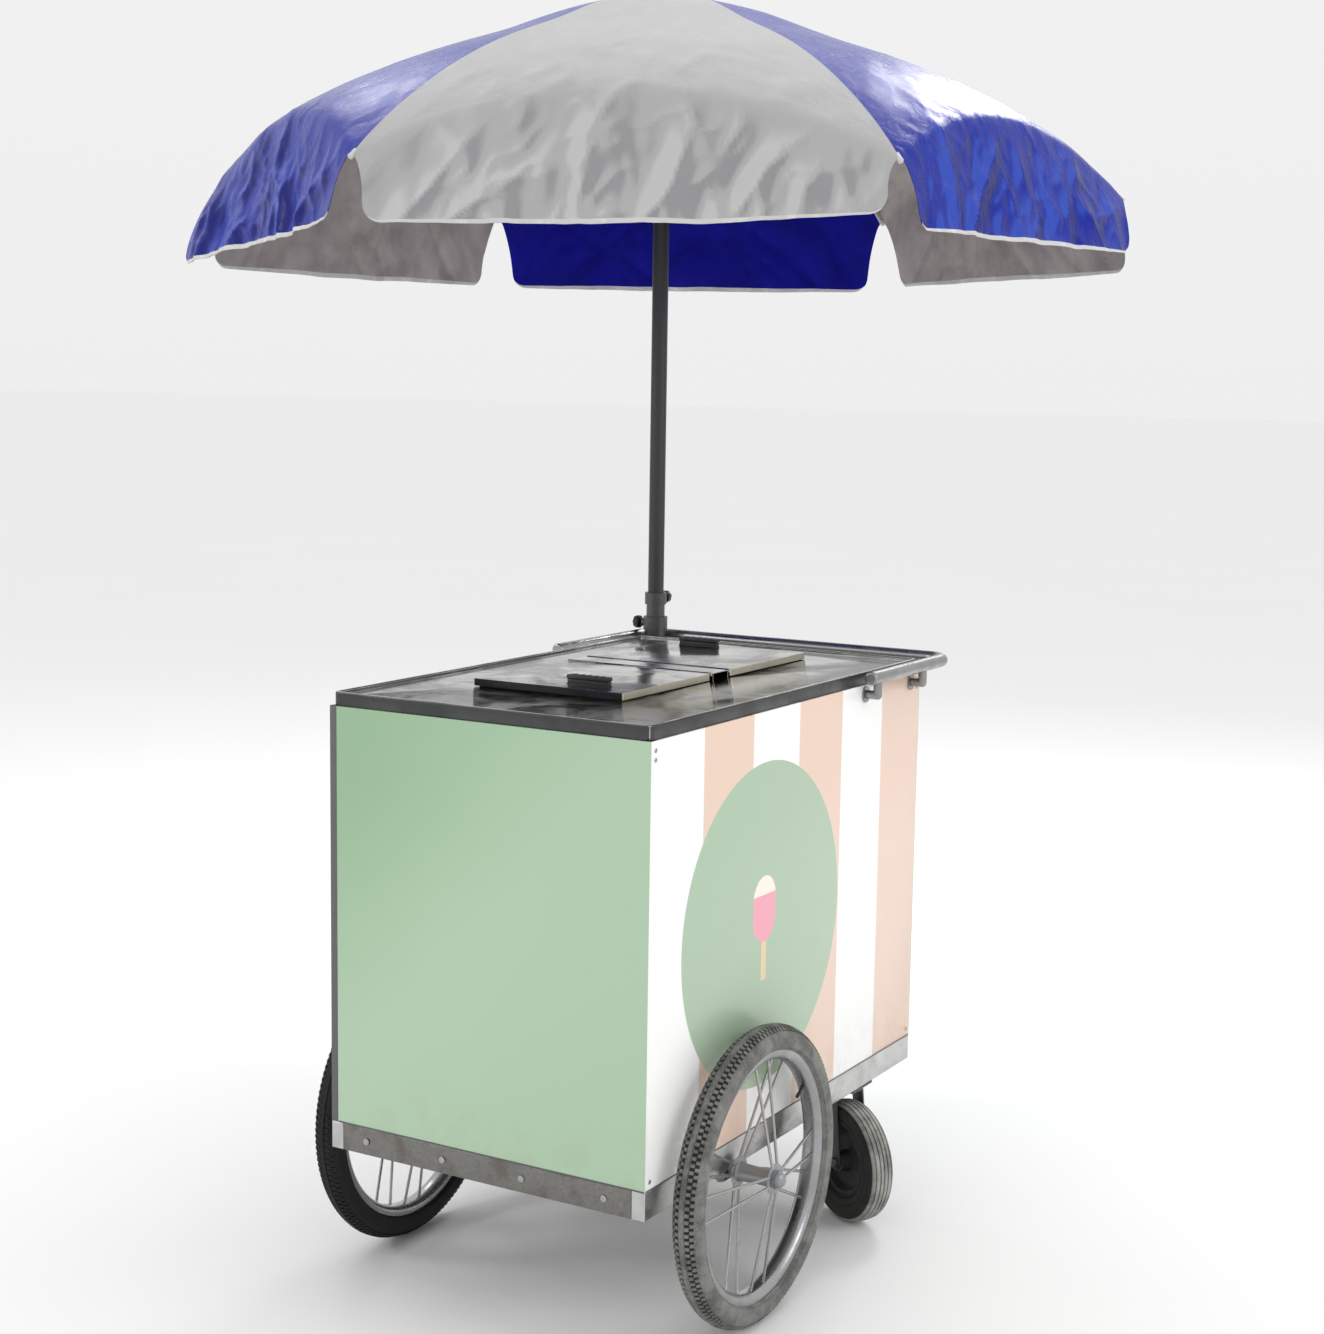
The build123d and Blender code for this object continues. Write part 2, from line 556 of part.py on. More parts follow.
# ---- push handle ---------------------------------------------------------------------------------
def build_handle():
    x, y = HALF_W + HANDLE_SIDE_GAP, HALF_L + HANDLE_REAR_GAP
    path = FilletPolyline((x, HANDLE_FRONT_Y, HANDLE_Z), (x, y, HANDLE_Z), (-x, y, HANDLE_Z),
                          (-x, HANDLE_FRONT_Y, HANDLE_Z), radius=HANDLE_BEND_R)
    start = Plane(origin=path @ 0, z_dir=path % 0)
    outer = sweep(start * Circle(HANDLE_R), path=path)
    inner = sweep(start * Circle(HANDLE_R - HANDLE_WALL), path=path)
    save("push_handle", outer - inner)
    pieces = []
    arm_z = PANEL_TOP - STANDOFF_FOOT_R - STANDOFF_DROP
    tubes = {s: rod((s * x, HANDLE_FRONT_Y, HANDLE_Z), (s * x, y - HANDLE_BEND_R, HANDLE_Z), HANDLE_R)
             for s in (-1, 1)}
    for s in (-1, 1):
        for at_y in STANDOFF_Y:
            foot_x = HALF_W + STANDOFF_FOOT_T
            foot = rod((s * HALF_W, at_y, arm_z), (s * foot_x, at_y, arm_z), STANDOFF_FOOT_R)
            stem = rod((s * HALF_W, at_y, arm_z), (s * x, at_y, arm_z), STANDOFF_R)
            elbow = Pos(s * x, at_y, arm_z) * Sphere(STANDOFF_R)
            riser = rod((s * x, at_y, arm_z), (s * x, at_y, HANDLE_Z), STANDOFF_R)
            pieces.append(foot + stem + elbow + riser - tubes[s])
        cap = rod((s * x, HANDLE_FRONT_Y - END_CAP_L, HANDLE_Z), (s * x, HANDLE_FRONT_Y, HANDLE_Z), HANDLE_R)
        cap = fillet(cap.edges().group_by(Axis.Y)[0], END_CAP_FILLET)
        pieces.append(cap)
    save("handle_standoffs", *pieces)


# ---- umbrella pole -------------------------------------------------------------------------------
def build_pole():
    at = Pos(POLE_X, POLE_Y, 0)
    socket_r = SOCKET_BORE_R + SOCKET_WALL
    seat = SOCKET_BOTTOM + SOCKET_FLOOR
    bore = rod((0, 0, seat), (0, 0, SOCKET_TOP + COLLAR_H + 1), SOCKET_BORE_R)
    socket = rod((0, 0, SOCKET_BOTTOM), (0, 0, SOCKET_TOP), socket_r)
    socket += rod((0, 0, SOCKET_TOP), (0, 0, SOCKET_TOP + COLLAR_H), COLLAR_R)
    knob_z = SOCKET_TOP + COLLAR_H / 2
    boss_end = COLLAR_R + KNOB_GAP / 2
    socket += rod((0, 0, knob_z), (-boss_end, 0, knob_z), 2 * KNOB_SCREW_R)
    rear_face = HALF_L - POLE_Y
    for z in (SOCKET_BOTTOM + BRACKET_FROM_END, SOCKET_TOP - BRACKET_FROM_END):
        z0, z1 = z - BRACKET_HALF_H, z + BRACKET_HALF_H
        socket += block(-BRACKET_HALF_W, BRACKET_HALF_W, rear_face, -SOCKET_BORE_R, z0, z1)
        socket += block(-BRACKET_HALF_W, BRACKET_REACH, rear_face, rear_face + BRACKET_T, z0, z1)
    socket -= bore
    socket -= rod((0, 0, knob_z), (-boss_end - 1, 0, knob_z), KNOB_SCREW_R + RUNNING_FIT)
    save("pole_socket", at * socket)

    tip = SOCKET_BORE_R + CUT_GAP / 3
    screw = rod((-tip, 0, knob_z), (-boss_end - KNOB_GAP / 2, 0, knob_z), KNOB_SCREW_R)
    head = rod((-boss_end - KNOB_GAP / 2, 0, knob_z), (-boss_end - KNOB_GAP / 2 - KNOB_H, 0, knob_z), KNOB_R)
    save("socket_knob", at * (screw + head))

    sleeve = rod((0, 0, seat), (0, 0, SLEEVE_TOP), LOWER_POLE_R)
    sleeve += rod((0, 0, SLEEVE_TOP - SLEEVE_COLLAR_H), (0, 0, SLEEVE_TOP), SLEEVE_COLLAR_R)
    knob_z = SLEEVE_TOP - SLEEVE_COLLAR_H / 2
    boss_end = SLEEVE_COLLAR_R + KNOB_GAP / 2
    sleeve += rod((0, 0, knob_z), (0, boss_end, knob_z), 2 * KNOB_SCREW_R)
    sleeve -= rod((0, 0, seat - 1), (0, 0, SLEEVE_TOP + 1), SLEEVE_BORE_R)
    sleeve -= rod((0, 0, knob_z), (0, boss_end + 1, knob_z), KNOB_SCREW_R + RUNNING_FIT)
    save("lower_pole", at * sleeve)

    tip = SLEEVE_BORE_R + CUT_GAP / 3
    screw = rod((0, tip, knob_z), (0, boss_end + KNOB_GAP / 2, knob_z), KNOB_SCREW_R)
    head = rod((0, boss_end + KNOB_GAP / 2, knob_z), (0, boss_end + KNOB_GAP / 2 + KNOB_H, knob_z), KNOB_R)
    save("height_knob", at * (screw + head))

    tube_top = PIVOT_Z - EYE_R
    tube = rod((0, 0, UPPER_POLE_BOTTOM), (0, 0, tube_top), UPPER_POLE_R)
    tube -= rod((0, 0, UPPER_POLE_BOTTOM - 1), (0, 0, tube_top + 1), UPPER_POLE_R - UPPER_POLE_WALL)
    save("upper_pole", at * tube)
    return at


# ---- umbrella frame ------------------------------------------------------------------------------
def ears(z, side, reach):
    """One ear beside each rib's plane: side is the ear's place across the rib."""
    y0, y1 = side
    ear = block(UPPER_POLE_R + 1, reach, y0, y1, z - EYE_R, z + EYE_R)
    return [Rot(0, 0, angle) * ear for angle in RIB_ANGLES]


def build_umbrella(at):
    half = RIB_T / 2
    tube_top = PIVOT_Z - EYE_R
    crown = rod((0, 0, PIVOT_Z + EYE_R - CROWN_H), (0, 0, PIVOT_Z + EYE_R / 2), CROWN_R)
    crown -= rod((0, 0, 0), (0, 0, tube_top), UPPER_POLE_R)
    outer_ear = (half + SIDE_GAP, half + SIDE_GAP + EAR_T)
    inner_ear = (-half - SIDE_GAP - EAR_T, -half - SIDE_GAP)
    for side in (outer_ear, inner_ear):
        for ear in ears(PIVOT_Z, side, PIVOT_R + EYE_R - 1):
            crown += ear
    for angle in RIB_ANGLES:
        pin = rod((PIVOT_R, inner_ear[0], PIVOT_Z), (PIVOT_R, outer_ear[1], PIVOT_Z), PIVOT_PIN_R)
        crown += Rot(0, 0, angle) * pin
    crown -= rod((0, 0, tube_top), (0, 0, PIVOT_Z + EYE_R), FINIAL_STEM_R)
    save("crown", at * crown)

    runner = rod((0, 0, RUNNER_Z - RUNNER_H + EYE_R), (0, 0, RUNNER_Z + EYE_R), RUNNER_R)
    for ear in ears(RUNNER_Z, (-half / 2, half), PIVOT_R + EYE_R - 1):
        runner += ear
    runner -= rod((0, 0, 0), (0, 0, APEX_Z), UPPER_POLE_R + POLE_FIT)
    save("runner", at * runner)

    cap = RIB_MID_R - RIB_DEPTH / 2
    section = Circle(RIB_OUT_R) - Circle(cap)
    window = Pos((PIVOT_R + RIB_TIP_R) / 2, RIB_OUT_R / 2) * Rectangle(RIB_TIP_R - PIVOT_R, RIB_OUT_R)
    bow = extrude(Plane.XZ * (section & window), amount=half, both=True)
    bow = Pos(0, 0, DOME_Z) * bow
    eye = rod((PIVOT_R, -half, PIVOT_Z), (PIVOT_R, half, PIVOT_Z), EYE_R)
    eye_hole = rod((PIVOT_R, -half - 1, PIVOT_Z), (PIVOT_R, half + 1, PIVOT_Z), PIVOT_PIN_R + RUNNING_FIT)
    lug = block(LUG_R - EYE_R, LUG_R + EYE_R, -half, half, LUG_Z - EYE_R, LUG_Z + LUG_DROP)
    lug_pin_end = half + SIDE_GAP + STRETCHER_T + 1
    lug_pin = rod((LUG_R, half, LUG_Z), (LUG_R, lug_pin_end, LUG_Z), PIVOT_PIN_R)
    rib = bow + eye + lug + lug_pin - eye_hole

    y0, y1 = half + SIDE_GAP, half + SIDE_GAP + STRETCHER_T
    slope = math.degrees(math.atan2(LUG_Z - RUNNER_Z, LUG_R - PIVOT_R))
    bar = block(0, STRETCHER_L, y0, y1, -STRETCHER_H / 2, STRETCHER_H / 2)
    bar += rod((0, y0, 0), (0, y1, 0), EYE_R) + rod((STRETCHER_L, y0, 0), (STRETCHER_L, y1, 0), EYE_R)
    bar -= rod((STRETCHER_L, y0 - 1, 0), (STRETCHER_L, y1 + 1, 0), PIVOT_PIN_R + RUNNING_FIT)
    bar -= rod((0, y0 - 1, 0), (0, y1 + 1, 0), PIVOT_PIN_R + RUNNING_FIT)
    stretcher = Pos(PIVOT_R, 0, RUNNER_Z) * Rot(0, -slope, 0) * bar
    for k, angle in enumerate(RIB_ANGLES, 1):
        save(f"rib_{k}", at * Rot(0, 0, angle) * rib)
        save(f"stretcher_{k}", at * Rot(0, 0, angle) * stretcher)

    finial = rod((0, 0, PIVOT_Z), (0, 0, APEX_Z + 2), FINIAL_STEM_R)
    head_z = APEX_Z + 1
    knob = Pos(0, 0, head_z + FINIAL_H / 2) * Sphere(FINIAL_R)
    base = rod((0, 0, head_z), (0, 0, head_z + FINIAL_BASE_H), FINIAL_R)
    neck = rod((0, 0, head_z), (0, 0, head_z + FINIAL_NECK_H), FINIAL_NECK_R)
    save("finial", at * (finial + base + neck + knob))


def build_cover(at):
    """The cover: a dome cut by six upright planes, with a flap hanging from each straight edge."""
    apothem = COVER_REACH * math.cos(math.radians(180 / RIBS))
    half_edge = COVER_REACH * math.sin(math.radians(180 / RIBS))
    centre = Pos(0, 0, DOME_Z)
    shell = centre * Sphere(DOME_R) - centre * Sphere(DOME_R - COVER_T)
    shell -= rod((0, 0, PIVOT_Z - EYE_R), (0, 0, APEX_Z + FINIAL_H), COVER_HOLE_R)
    wedge = make_face(Polyline((2 * COVER_GAP, 0), (apothem, half_edge - COVER_GAP),
                               (apothem, -half_edge + COVER_GAP), close=True))
    wedge = Pos(0, 0, HEM_Z) * extrude(wedge, amount=APEX_Z - HEM_Z + FINIAL_H)
    corner_z = DOME_Z + math.sqrt(DOME_R**2 - COVER_REACH**2)
    flap = make_face(Polyline(
        (-half_edge + COVER_GAP, corner_z), (-half_edge + NOTCH, corner_z - NOTCH),
        (-half_edge + NOTCH, HEM_Z),
        (half_edge - NOTCH, HEM_Z), (half_edge - NOTCH, corner_z - NOTCH), (half_edge - COVER_GAP, corner_z),
        (half_edge - COVER_GAP, APEX_Z), (-half_edge + COVER_GAP, APEX_Z), close=True))
    flap = fillet(flap.vertices().group_by(Axis.Y)[0], NOTCH_R)
    flap = Pos(apothem, 0, 0) * extrude(Plane.YZ * flap, amount=-COVER_T)
    flap = flap & (centre * Sphere(DOME_R)) & wedge
    gore = (shell & wedge) + flap
    mids = [angle + 180 / RIBS for angle in RIB_ANGLES]
    gores = [at * Rot(0, 0, angle) * gore for angle in mids]
    save("cover_white_gores", *gores[0::2])
    save("cover_blue_gores", *gores[1::2])


build_base_frame()
build_body()
build_wells()
build_deck()
build_lids()
build_wheels()
build_casters()
build_handle()
pole_place = build_pole()
build_umbrella(pole_place)
build_cover(pole_place)
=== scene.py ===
"""Push vending cart with an umbrella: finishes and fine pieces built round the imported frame."""
import json
import logging
import math
from abc import ABC, abstractmethod
from dataclasses import dataclass
from enum import Enum
from typing import Callable, Dict, List, Optional, Sequence, Tuple, Union

import bmesh
import bpy
import numpy as np
from mathutils import Matrix, Vector, noise


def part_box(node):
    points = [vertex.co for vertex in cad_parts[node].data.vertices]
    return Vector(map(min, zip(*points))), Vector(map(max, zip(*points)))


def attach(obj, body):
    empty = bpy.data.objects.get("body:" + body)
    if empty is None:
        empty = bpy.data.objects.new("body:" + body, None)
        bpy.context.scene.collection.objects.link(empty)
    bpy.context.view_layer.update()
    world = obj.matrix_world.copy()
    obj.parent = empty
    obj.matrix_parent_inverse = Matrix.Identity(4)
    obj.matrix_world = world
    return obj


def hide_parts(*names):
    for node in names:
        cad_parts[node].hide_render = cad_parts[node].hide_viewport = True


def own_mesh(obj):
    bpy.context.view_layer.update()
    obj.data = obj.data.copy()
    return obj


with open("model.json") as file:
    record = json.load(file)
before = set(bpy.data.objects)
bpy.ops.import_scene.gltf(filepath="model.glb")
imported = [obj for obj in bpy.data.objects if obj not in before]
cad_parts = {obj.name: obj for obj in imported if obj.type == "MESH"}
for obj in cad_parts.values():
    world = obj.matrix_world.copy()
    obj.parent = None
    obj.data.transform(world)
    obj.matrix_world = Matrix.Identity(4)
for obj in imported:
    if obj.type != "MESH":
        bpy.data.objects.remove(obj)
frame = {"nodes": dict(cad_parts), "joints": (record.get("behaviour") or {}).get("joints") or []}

LOG = logging.getLogger("cart")
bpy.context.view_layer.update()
MM = 0.001
X, Y, Z = Vector((1, 0, 0)), Vector((0, 1, 0)), Vector((0, 0, 1))
Colour = Tuple[float, float, float]
Point = Tuple[float, float]
Place = Tuple[float, float, float]
Spot = Union[Vector, Place]
FaceTest = Callable[[Vector, Vector], bool]


# ---- shader maths --------------------------------------------------------------------------------
class Sock:
    """One shader value; arithmetic on it adds the Math nodes."""

    def __init__(self, shader: "Shader", socket: bpy.types.NodeSocket) -> None:
        """Keep the shader and the socket that the value comes from."""
        self.shader = shader
        self.socket = socket

    def _maths(self, operation: str, first: "Value", second: "Value" = 0.0) -> "Sock":
        """Add one Math node."""
        return self.shader.node("ShaderNodeMath", {"operation": operation}, {0: first, 1: second})

    def __add__(self, other: "Value") -> "Sock":
        """self + other."""
        return self._maths("ADD", self, other)

    def __radd__(self, other: "Value") -> "Sock":
        """other + self."""
        return self._maths("ADD", other, self)

    def __sub__(self, other: "Value") -> "Sock":
        """self - other."""
        return self._maths("SUBTRACT", self, other)

    def __rsub__(self, other: "Value") -> "Sock":
        """other - self."""
        return self._maths("SUBTRACT", other, self)

    def __mul__(self, other: "Value") -> "Sock":
        """self * other."""
        return self._maths("MULTIPLY", self, other)

    def __truediv__(self, other: "Value") -> "Sock":
        """self / other."""
        return self._maths("DIVIDE", self, other)

    def __abs__(self) -> "Sock":
        """The size of self."""
        return self._maths("ABSOLUTE", self)

    def __gt__(self, other: "Value") -> "Sock":
        """1 where self is more than other."""
        return self._maths("GREATER_THAN", self, other)

    def __lt__(self, other: "Value") -> "Sock":
        """1 where self is less than other."""
        return self._maths("LESS_THAN", self, other)

    def apply(self, operation: str, other: "Value" = 0.0) -> "Sock":
        """Any other Math operation on self."""
        return self._maths(operation, self, other)

    def fade(self, low: float, high: float, start: float = 0.0, end: float = 1.0) -> "Sock":
        """A smooth change from start to end as self goes from low to high."""
        return self.shader.node("ShaderNodeMapRange", {"interpolation_type": "SMOOTHSTEP", "clamp": True},
                                {0: self, 1: low, 2: high, 3: start, 4: end})


Value = Union[Sock, float, int]


class Shader:
    """A material's node tree under construction."""

    def __init__(self, name: str) -> None:
        """Start an empty material."""
        self.material = bpy.data.materials.new(name)
        self.material.use_nodes = True
        self.tree = self.material.node_tree
        self.tree.nodes.clear()
        self._place: Optional[Sock] = None

    def node(self, kind: str, settings: Optional[Dict[str, object]] = None,
             sockets: Optional[Dict[Union[int, str], object]] = None, output: Union[int, str] = 0) -> Sock:
        """Add a node.

        Args:
            kind: the node's type.
            settings: its properties; "stops" gives a colour ramp's (position, colour) pairs.
            sockets: values or links by socket name or number.
            output: which output to hand back.

        Returns:
            The chosen output.
        """
        node = self.tree.nodes.new(kind)
        for key, value in (settings or {}).items():
            if key == "stops":
                elements = node.color_ramp.elements
                while len(elements) < len(value):
                    elements.new(1.0)
                for element, (position, colour) in zip(elements, value):
                    element.position = position
                    element.color = (*colour, 1.0)
            else:
                setattr(node, key, value)
        for key, value in (sockets or {}).items():
            target = node.inputs[key]
            if isinstance(value, Sock):
                self.tree.links.new(value.socket, target)
            elif isinstance(value, tuple) and len(value) == 3 and target.type == "RGBA":
                target.default_value = (*value, 1.0)
            else:
                target.default_value = value
        return Sock(self, node.outputs[output])

    def place(self) -> Sock:
        """The point on the object, in metres."""
        if self._place is None:
            self._place = self.node("ShaderNodeTexCoord", output="Object")
        return self._place

    def uv(self) -> Sock:
        """The point on the cloth, in metres."""
        return self.node("ShaderNodeUVMap", {"uv_map": "cloth"})

    def axes(self, vector: Sock) -> Tuple[Sock, Sock, Sock]:
        """A vector's three parts.

        Args:
            vector: the vector's socket.

        Returns:
            Its X, Y and Z.
        """
        first = self.node("ShaderNodeSeparateXYZ", sockets={0: vector})
        outputs = first.socket.node.outputs
        return first, Sock(self, outputs[1]), Sock(self, outputs[2])

    def scaled(self, vector: Sock, scale: Sequence[float]) -> Sock:
        """A vector with its parts scaled."""
        return self.node("ShaderNodeMapping", sockets={"Vector": vector, "Scale": tuple(scale)})

    def noise(self, vector: Sock, scale: float, detail: float = 3.0, rough: float = 0.5,
              twist: float = 0.0) -> Sock:
        """Noise from 0 to 1."""
        return self.node("ShaderNodeTexNoise", sockets={
            "Vector": vector, "Scale": scale, "Detail": detail, "Roughness": rough, "Distortion": twist})

    def cells(self, vector: Sock, scale: float, feature: str = "F1", output: str = "Distance") -> Sock:
        """A cell pattern."""
        return self.node("ShaderNodeTexVoronoi", {"feature": feature},
                         {"Vector": vector, "Scale": scale}, output)

    def mix(self, factor: Value, first: object, second: object) -> Sock:
        """A colour between two colours."""
        return self.node("ShaderNodeMix", {"data_type": "RGBA"}, {0: factor, 6: first, 7: second}, 2)

    def bump(self, height: Sock, depth: float, strength: float = 1.0) -> Sock:
        """A normal from a height of 0 to 1 that stands for a depth in metres."""
        return self.node("ShaderNodeBump", sockets={"Strength": strength, "Distance": depth, "Height": height})

    def surface(self, **values: object) -> bpy.types.Material:
        """End the material with a Principled surface whose sockets hold these values.

        Args:
            values: values or links by socket name, in lower case with underscores.

        Returns:
            The finished material.
        """
        sockets = {key.replace("_", " ").title().replace("Ior", "IOR"): value for key, value in values.items()}
        shown = self.node("ShaderNodeBsdfPrincipled", sockets=sockets)
        end = self.tree.nodes.new("ShaderNodeOutputMaterial")
        self.tree.links.new(shown.socket, end.inputs["Surface"])
        return self.material


# ---- finishes ------------------------------------------------------------------------------------
class Grain(Enum):
    """Which way a metal's brushing runs."""

    ALONG_X = (4.0, 260.0, 260.0)
    ALONG_Y = (260.0, 4.0, 260.0)
    ALONG_Z = (260.0, 260.0, 4.0)


@dataclass(frozen=True)
class Finish(ABC):
    """A surface finish with a procedural material."""

    name: str

    @abstractmethod
    def paint(self, shader: Shader) -> bpy.types.Material:
        """Lay out the nodes.

        Args:
            shader: the material under construction.

        Returns:
            The finished material.
        """

    def make(self) -> bpy.types.Material:
        """Build the material."""
        return self.paint(Shader(self.name))


@dataclass(frozen=True)
class Enamel(Finish):
    """Sheet metal under a satin film, with a soft slanted painted sheen: the colour turns lighter towards the
    right, the front and the bottom.
    """

    colour: Colour
    # light is the lit end of the painted sheen; the striped panels use it as their white ground.
    light: Colour
    roughness: float = 0.33

    def tone(self, shader: Shader) -> Sock:
        """The film's colour before wear, with a painted sheen: a soft slanted gradient to the lighter colour.

        Args:
            shader: the material under construction.

        Returns:
            The colour.
        """
        x, y, z = shader.axes(shader.place())
        # Painted sheen: lighter towards the right, the front and the bottom, with a little random variation,
        # standing in for a satin reflection.
        painted_sheen = (x * 0.9 - y * 0.35 + (1.05 - z) * 0.8 + shader.noise(shader.place(), 1.6, 2.0) * 0.25)
        return shader.mix(painted_sheen.fade(0.05, 0.62), self.colour, self.light)

    def paint(self, shader: Shader) -> bpy.types.Material:
        """Lay out the nodes."""
        place = shader.place()
        _, _, z = shader.axes(place)
        dust = shader.noise(place, 14.0, 5.0, 0.62)
        speck = shader.noise(place, 900.0, 2.0)
        splash = z.fade(0.30, 0.44, 1.0, 0.0) * dust.fade(0.42, 0.66)
        colour = shader.mix(splash * 0.12, self.tone(shader), (0.30, 0.27, 0.22))
        rough = self.roughness + dust.fade(0.35, 0.75) * 0.10 + splash * 0.20
        return shader.surface(base_color=colour, roughness=rough, coat_weight=0.25, coat_roughness=0.12,
                              normal=shader.bump(speck, 0.00012, 0.5))


@dataclass(frozen=True)
class StripedEnamel(Enamel):
    """The side panels: six upright stripes and a round badge with an ice pop."""

    stripe: Colour = (0.80, 0.60, 0.485)
    badge: Colour = (0.402, 0.530, 0.388)
    first: float = -0.505
    width: float = 1.01 / 6
    centre: Point = (-0.118, 0.663)
    radius: float = 0.283
    ice: Colour = (0.86, 0.36, 0.45)
    glaze: Colour = (0.93, 0.84, 0.72)
    wood: Colour = (0.80, 0.60, 0.36)
    ice_half: float = 0.040
    ice_foot: float = -0.030
    ice_top: float = 0.085
    glaze_foot: float = 0.052
    wood_half: float = 0.009
    wood_foot: float = -0.098

    def tone(self, shader: Shader) -> Sock:
        """Stripes, then the badge, then the ice pop on it.

        Args:
            shader: the material under construction.

        Returns:
            The colour.
        """
        _, y, z = shader.axes(shader.place())
        turn = ((y - self.first) / (2 * self.width)).apply("FRACT")
        base = shader.mix(turn > 0.5, self.light, self.stripe)
        across, up = y - self.centre[0], z - self.centre[1]
        distance = (across * across + up * up).apply("SQRT")
        base = shader.mix(distance < self.radius, base, self.badge)
        core = (self.ice_top - self.ice_foot) / 2 - self.ice_half
        beyond = (abs(up - (self.ice_foot + self.ice_top) / 2) - core).apply("MAXIMUM", 0.0)
        ice = (across * across + beyond * beyond).apply("SQRT") < self.ice_half
        stick = (abs(across) < self.wood_half) * ((up < self.ice_foot) * (up > self.wood_foot))
        base = shader.mix(stick, base, self.wood)
        base = shader.mix(ice, base, self.ice)
        return shader.mix((up > self.glaze_foot) * ice, base, self.glaze)


@dataclass(frozen=True)
class SheetSteel(Finish):
    """Bare sheet metal: brushed, smudged and a little dull."""

    colour: Colour
    roughness: float
    grain: Grain
    spread: float = 0.18
    mottle: float = 0.35

    def paint(self, shader: Shader) -> bpy.types.Material:
        """Lay out the nodes."""
        place = shader.place()
        lines = shader.noise(shader.scaled(place, self.grain.value), 1.0, 4.0, 0.6)
        smudge = shader.noise(place, 9.0, 5.0, 0.6, 0.6)
        drops = shader.noise(place, 60.0, 3.0, 0.5)
        dark = tuple(c * 0.55 for c in self.colour)
        tone = smudge.fade(0.36, 0.66) * self.mottle + lines * 0.20 + drops.fade(0.55, 0.72) * 0.10
        rough = self.roughness + smudge.fade(0.38, 0.62) * self.spread + (lines - 0.5) * 0.10
        return shader.surface(base_color=shader.mix(tone, self.colour, dark), metallic=1.0, roughness=rough,
                              normal=shader.bump(lines * 0.7 + drops * 0.3, 0.00006, 0.6))


@dataclass(frozen=True)
class Galvanised(Finish):
    """Zinc-dipped steel with a fine spangle, road dust and dull patches."""

    colour: Colour
    dirt: Colour = (0.22, 0.18, 0.13)

    def paint(self, shader: Shader) -> bpy.types.Material:
        """Lay out the nodes."""
        place = shader.place()
        spangle = shader.cells(place, 190.0, "F1", "Color")
        patch = shader.noise(place, 22.0, 5.0, 0.65)
        speck = shader.noise(place, 420.0, 3.0, 0.7)
        light = tuple(min(1.0, c * 1.5) for c in self.colour)
        value, _, _ = shader.axes(spangle)
        colour = shader.mix(value * 0.5, self.colour, light)
        grime = patch.fade(0.46, 0.68) * 0.7 + speck.fade(0.56, 0.64) * 0.5
        colour = shader.mix(grime.apply("MINIMUM", 0.8), colour, self.dirt)
        rough = 0.34 + value * 0.14 + grime * 0.3
        return shader.surface(base_color=colour, metallic=1.0 - grime * 0.6, roughness=rough,
                              normal=shader.bump(speck * 0.6 + value * 0.4, 0.00010, 0.6))


@dataclass(frozen=True)
class Plated(Finish):
    """Bright plating with pin-point pits, fingerprints and dust."""

    colour: Colour = (0.74, 0.75, 0.76)
    roughness: float = 0.08

    def paint(self, shader: Shader) -> bpy.types.Material:
        """Lay out the nodes."""
        place = shader.place()
        pits = shader.noise(place, 700.0, 2.0, 0.6)
        film = shader.noise(place, 26.0, 5.0, 0.6)
        spots = pits.fade(0.66, 0.72)
        colour = shader.mix(spots * 0.6 + film.fade(0.5, 0.75) * 0.2, self.colour, (0.20, 0.16, 0.12))
        rough = self.roughness + film.fade(0.42, 0.70) * 0.16 + spots * 0.3
        return shader.surface(base_color=colour, metallic=1.0 - spots * 0.4, roughness=rough,
                              normal=shader.bump(film * 0.6 + spots * 0.4, 0.00005, 0.5))


@dataclass(frozen=True)
class Painted(Finish):
    """A metallic paint on tube or bar, rubbed along its length."""

    colour: Colour
    rubbed: Colour
    roughness: float = 0.34
    metallic: float = 0.75

    def paint(self, shader: Shader) -> bpy.types.Material:
        """Lay out the nodes."""
        place = shader.place()
        streak = shader.noise(shader.scaled(place, Grain.ALONG_Z.value), 0.6, 4.0, 0.6)
        patch = shader.noise(place, 30.0, 4.0, 0.6)
        flake = shader.noise(place, 1500.0, 1.0)
        worn = streak.fade(0.60, 0.72) * patch.fade(0.46, 0.62)
        colour = shader.mix(worn * 0.6 + flake * 0.15, self.colour, self.rubbed)
        rough = self.roughness + patch * 0.14 - worn * 0.1
        return shader.surface(base_color=colour, metallic=self.metallic, roughness=rough,
                              normal=shader.bump(flake * 0.4 + streak * 0.6, 0.00006, 0.5))


@dataclass(frozen=True)
class Moulded(Finish):
    """Moulded plastic or foam with a fine grain."""

    colour: Colour
    roughness: float = 0.42
    grain: float = 0.00010
    scale: float = 850.0

    def paint(self, shader: Shader) -> bpy.types.Material:
        """Lay out the nodes."""
        place = shader.place()
        grain = shader.noise(place, self.scale, 3.0, 0.6)
        wear = shader.noise(place, 35.0, 4.0, 0.6)
        pale = tuple(min(1.0, c * 1.6 + 0.02) for c in self.colour)
        colour = shader.mix(wear.fade(0.50, 0.72) * 0.35, self.colour, pale)
        return shader.surface(base_color=colour, roughness=self.roughness + wear.fade(0.4, 0.7) * 0.16,
                              normal=shader.bump(grain, self.grain, 0.8))


@dataclass(frozen=True)
class Rubber(Finish):
    """Tyre rubber with dust in its pores and scuffed high spots."""

    colour: Colour
    dust: Colour
    dusty: float = 0.5

    def paint(self, shader: Shader) -> bpy.types.Material:
        """Lay out the nodes."""
        place = shader.place()
        _, _, z = shader.axes(place)
        pores = shader.noise(place, 520.0, 4.0, 0.7)
        film = shader.noise(place, 24.0, 5.0, 0.65)
        film = film.fade(0.34, 0.66) * self.dusty + pores.fade(0.48, 0.66) * self.dusty * 0.6
        film = (film + z.fade(0.0, 0.05, 0.35, 0.0)).apply("MINIMUM", 1.0)
        return shader.surface(base_color=shader.mix(film, self.colour, self.dust), roughness=0.62 + film * 0.24,
                              specular_ior_level=0.35, normal=shader.bump(pores, 0.00035, 0.7))


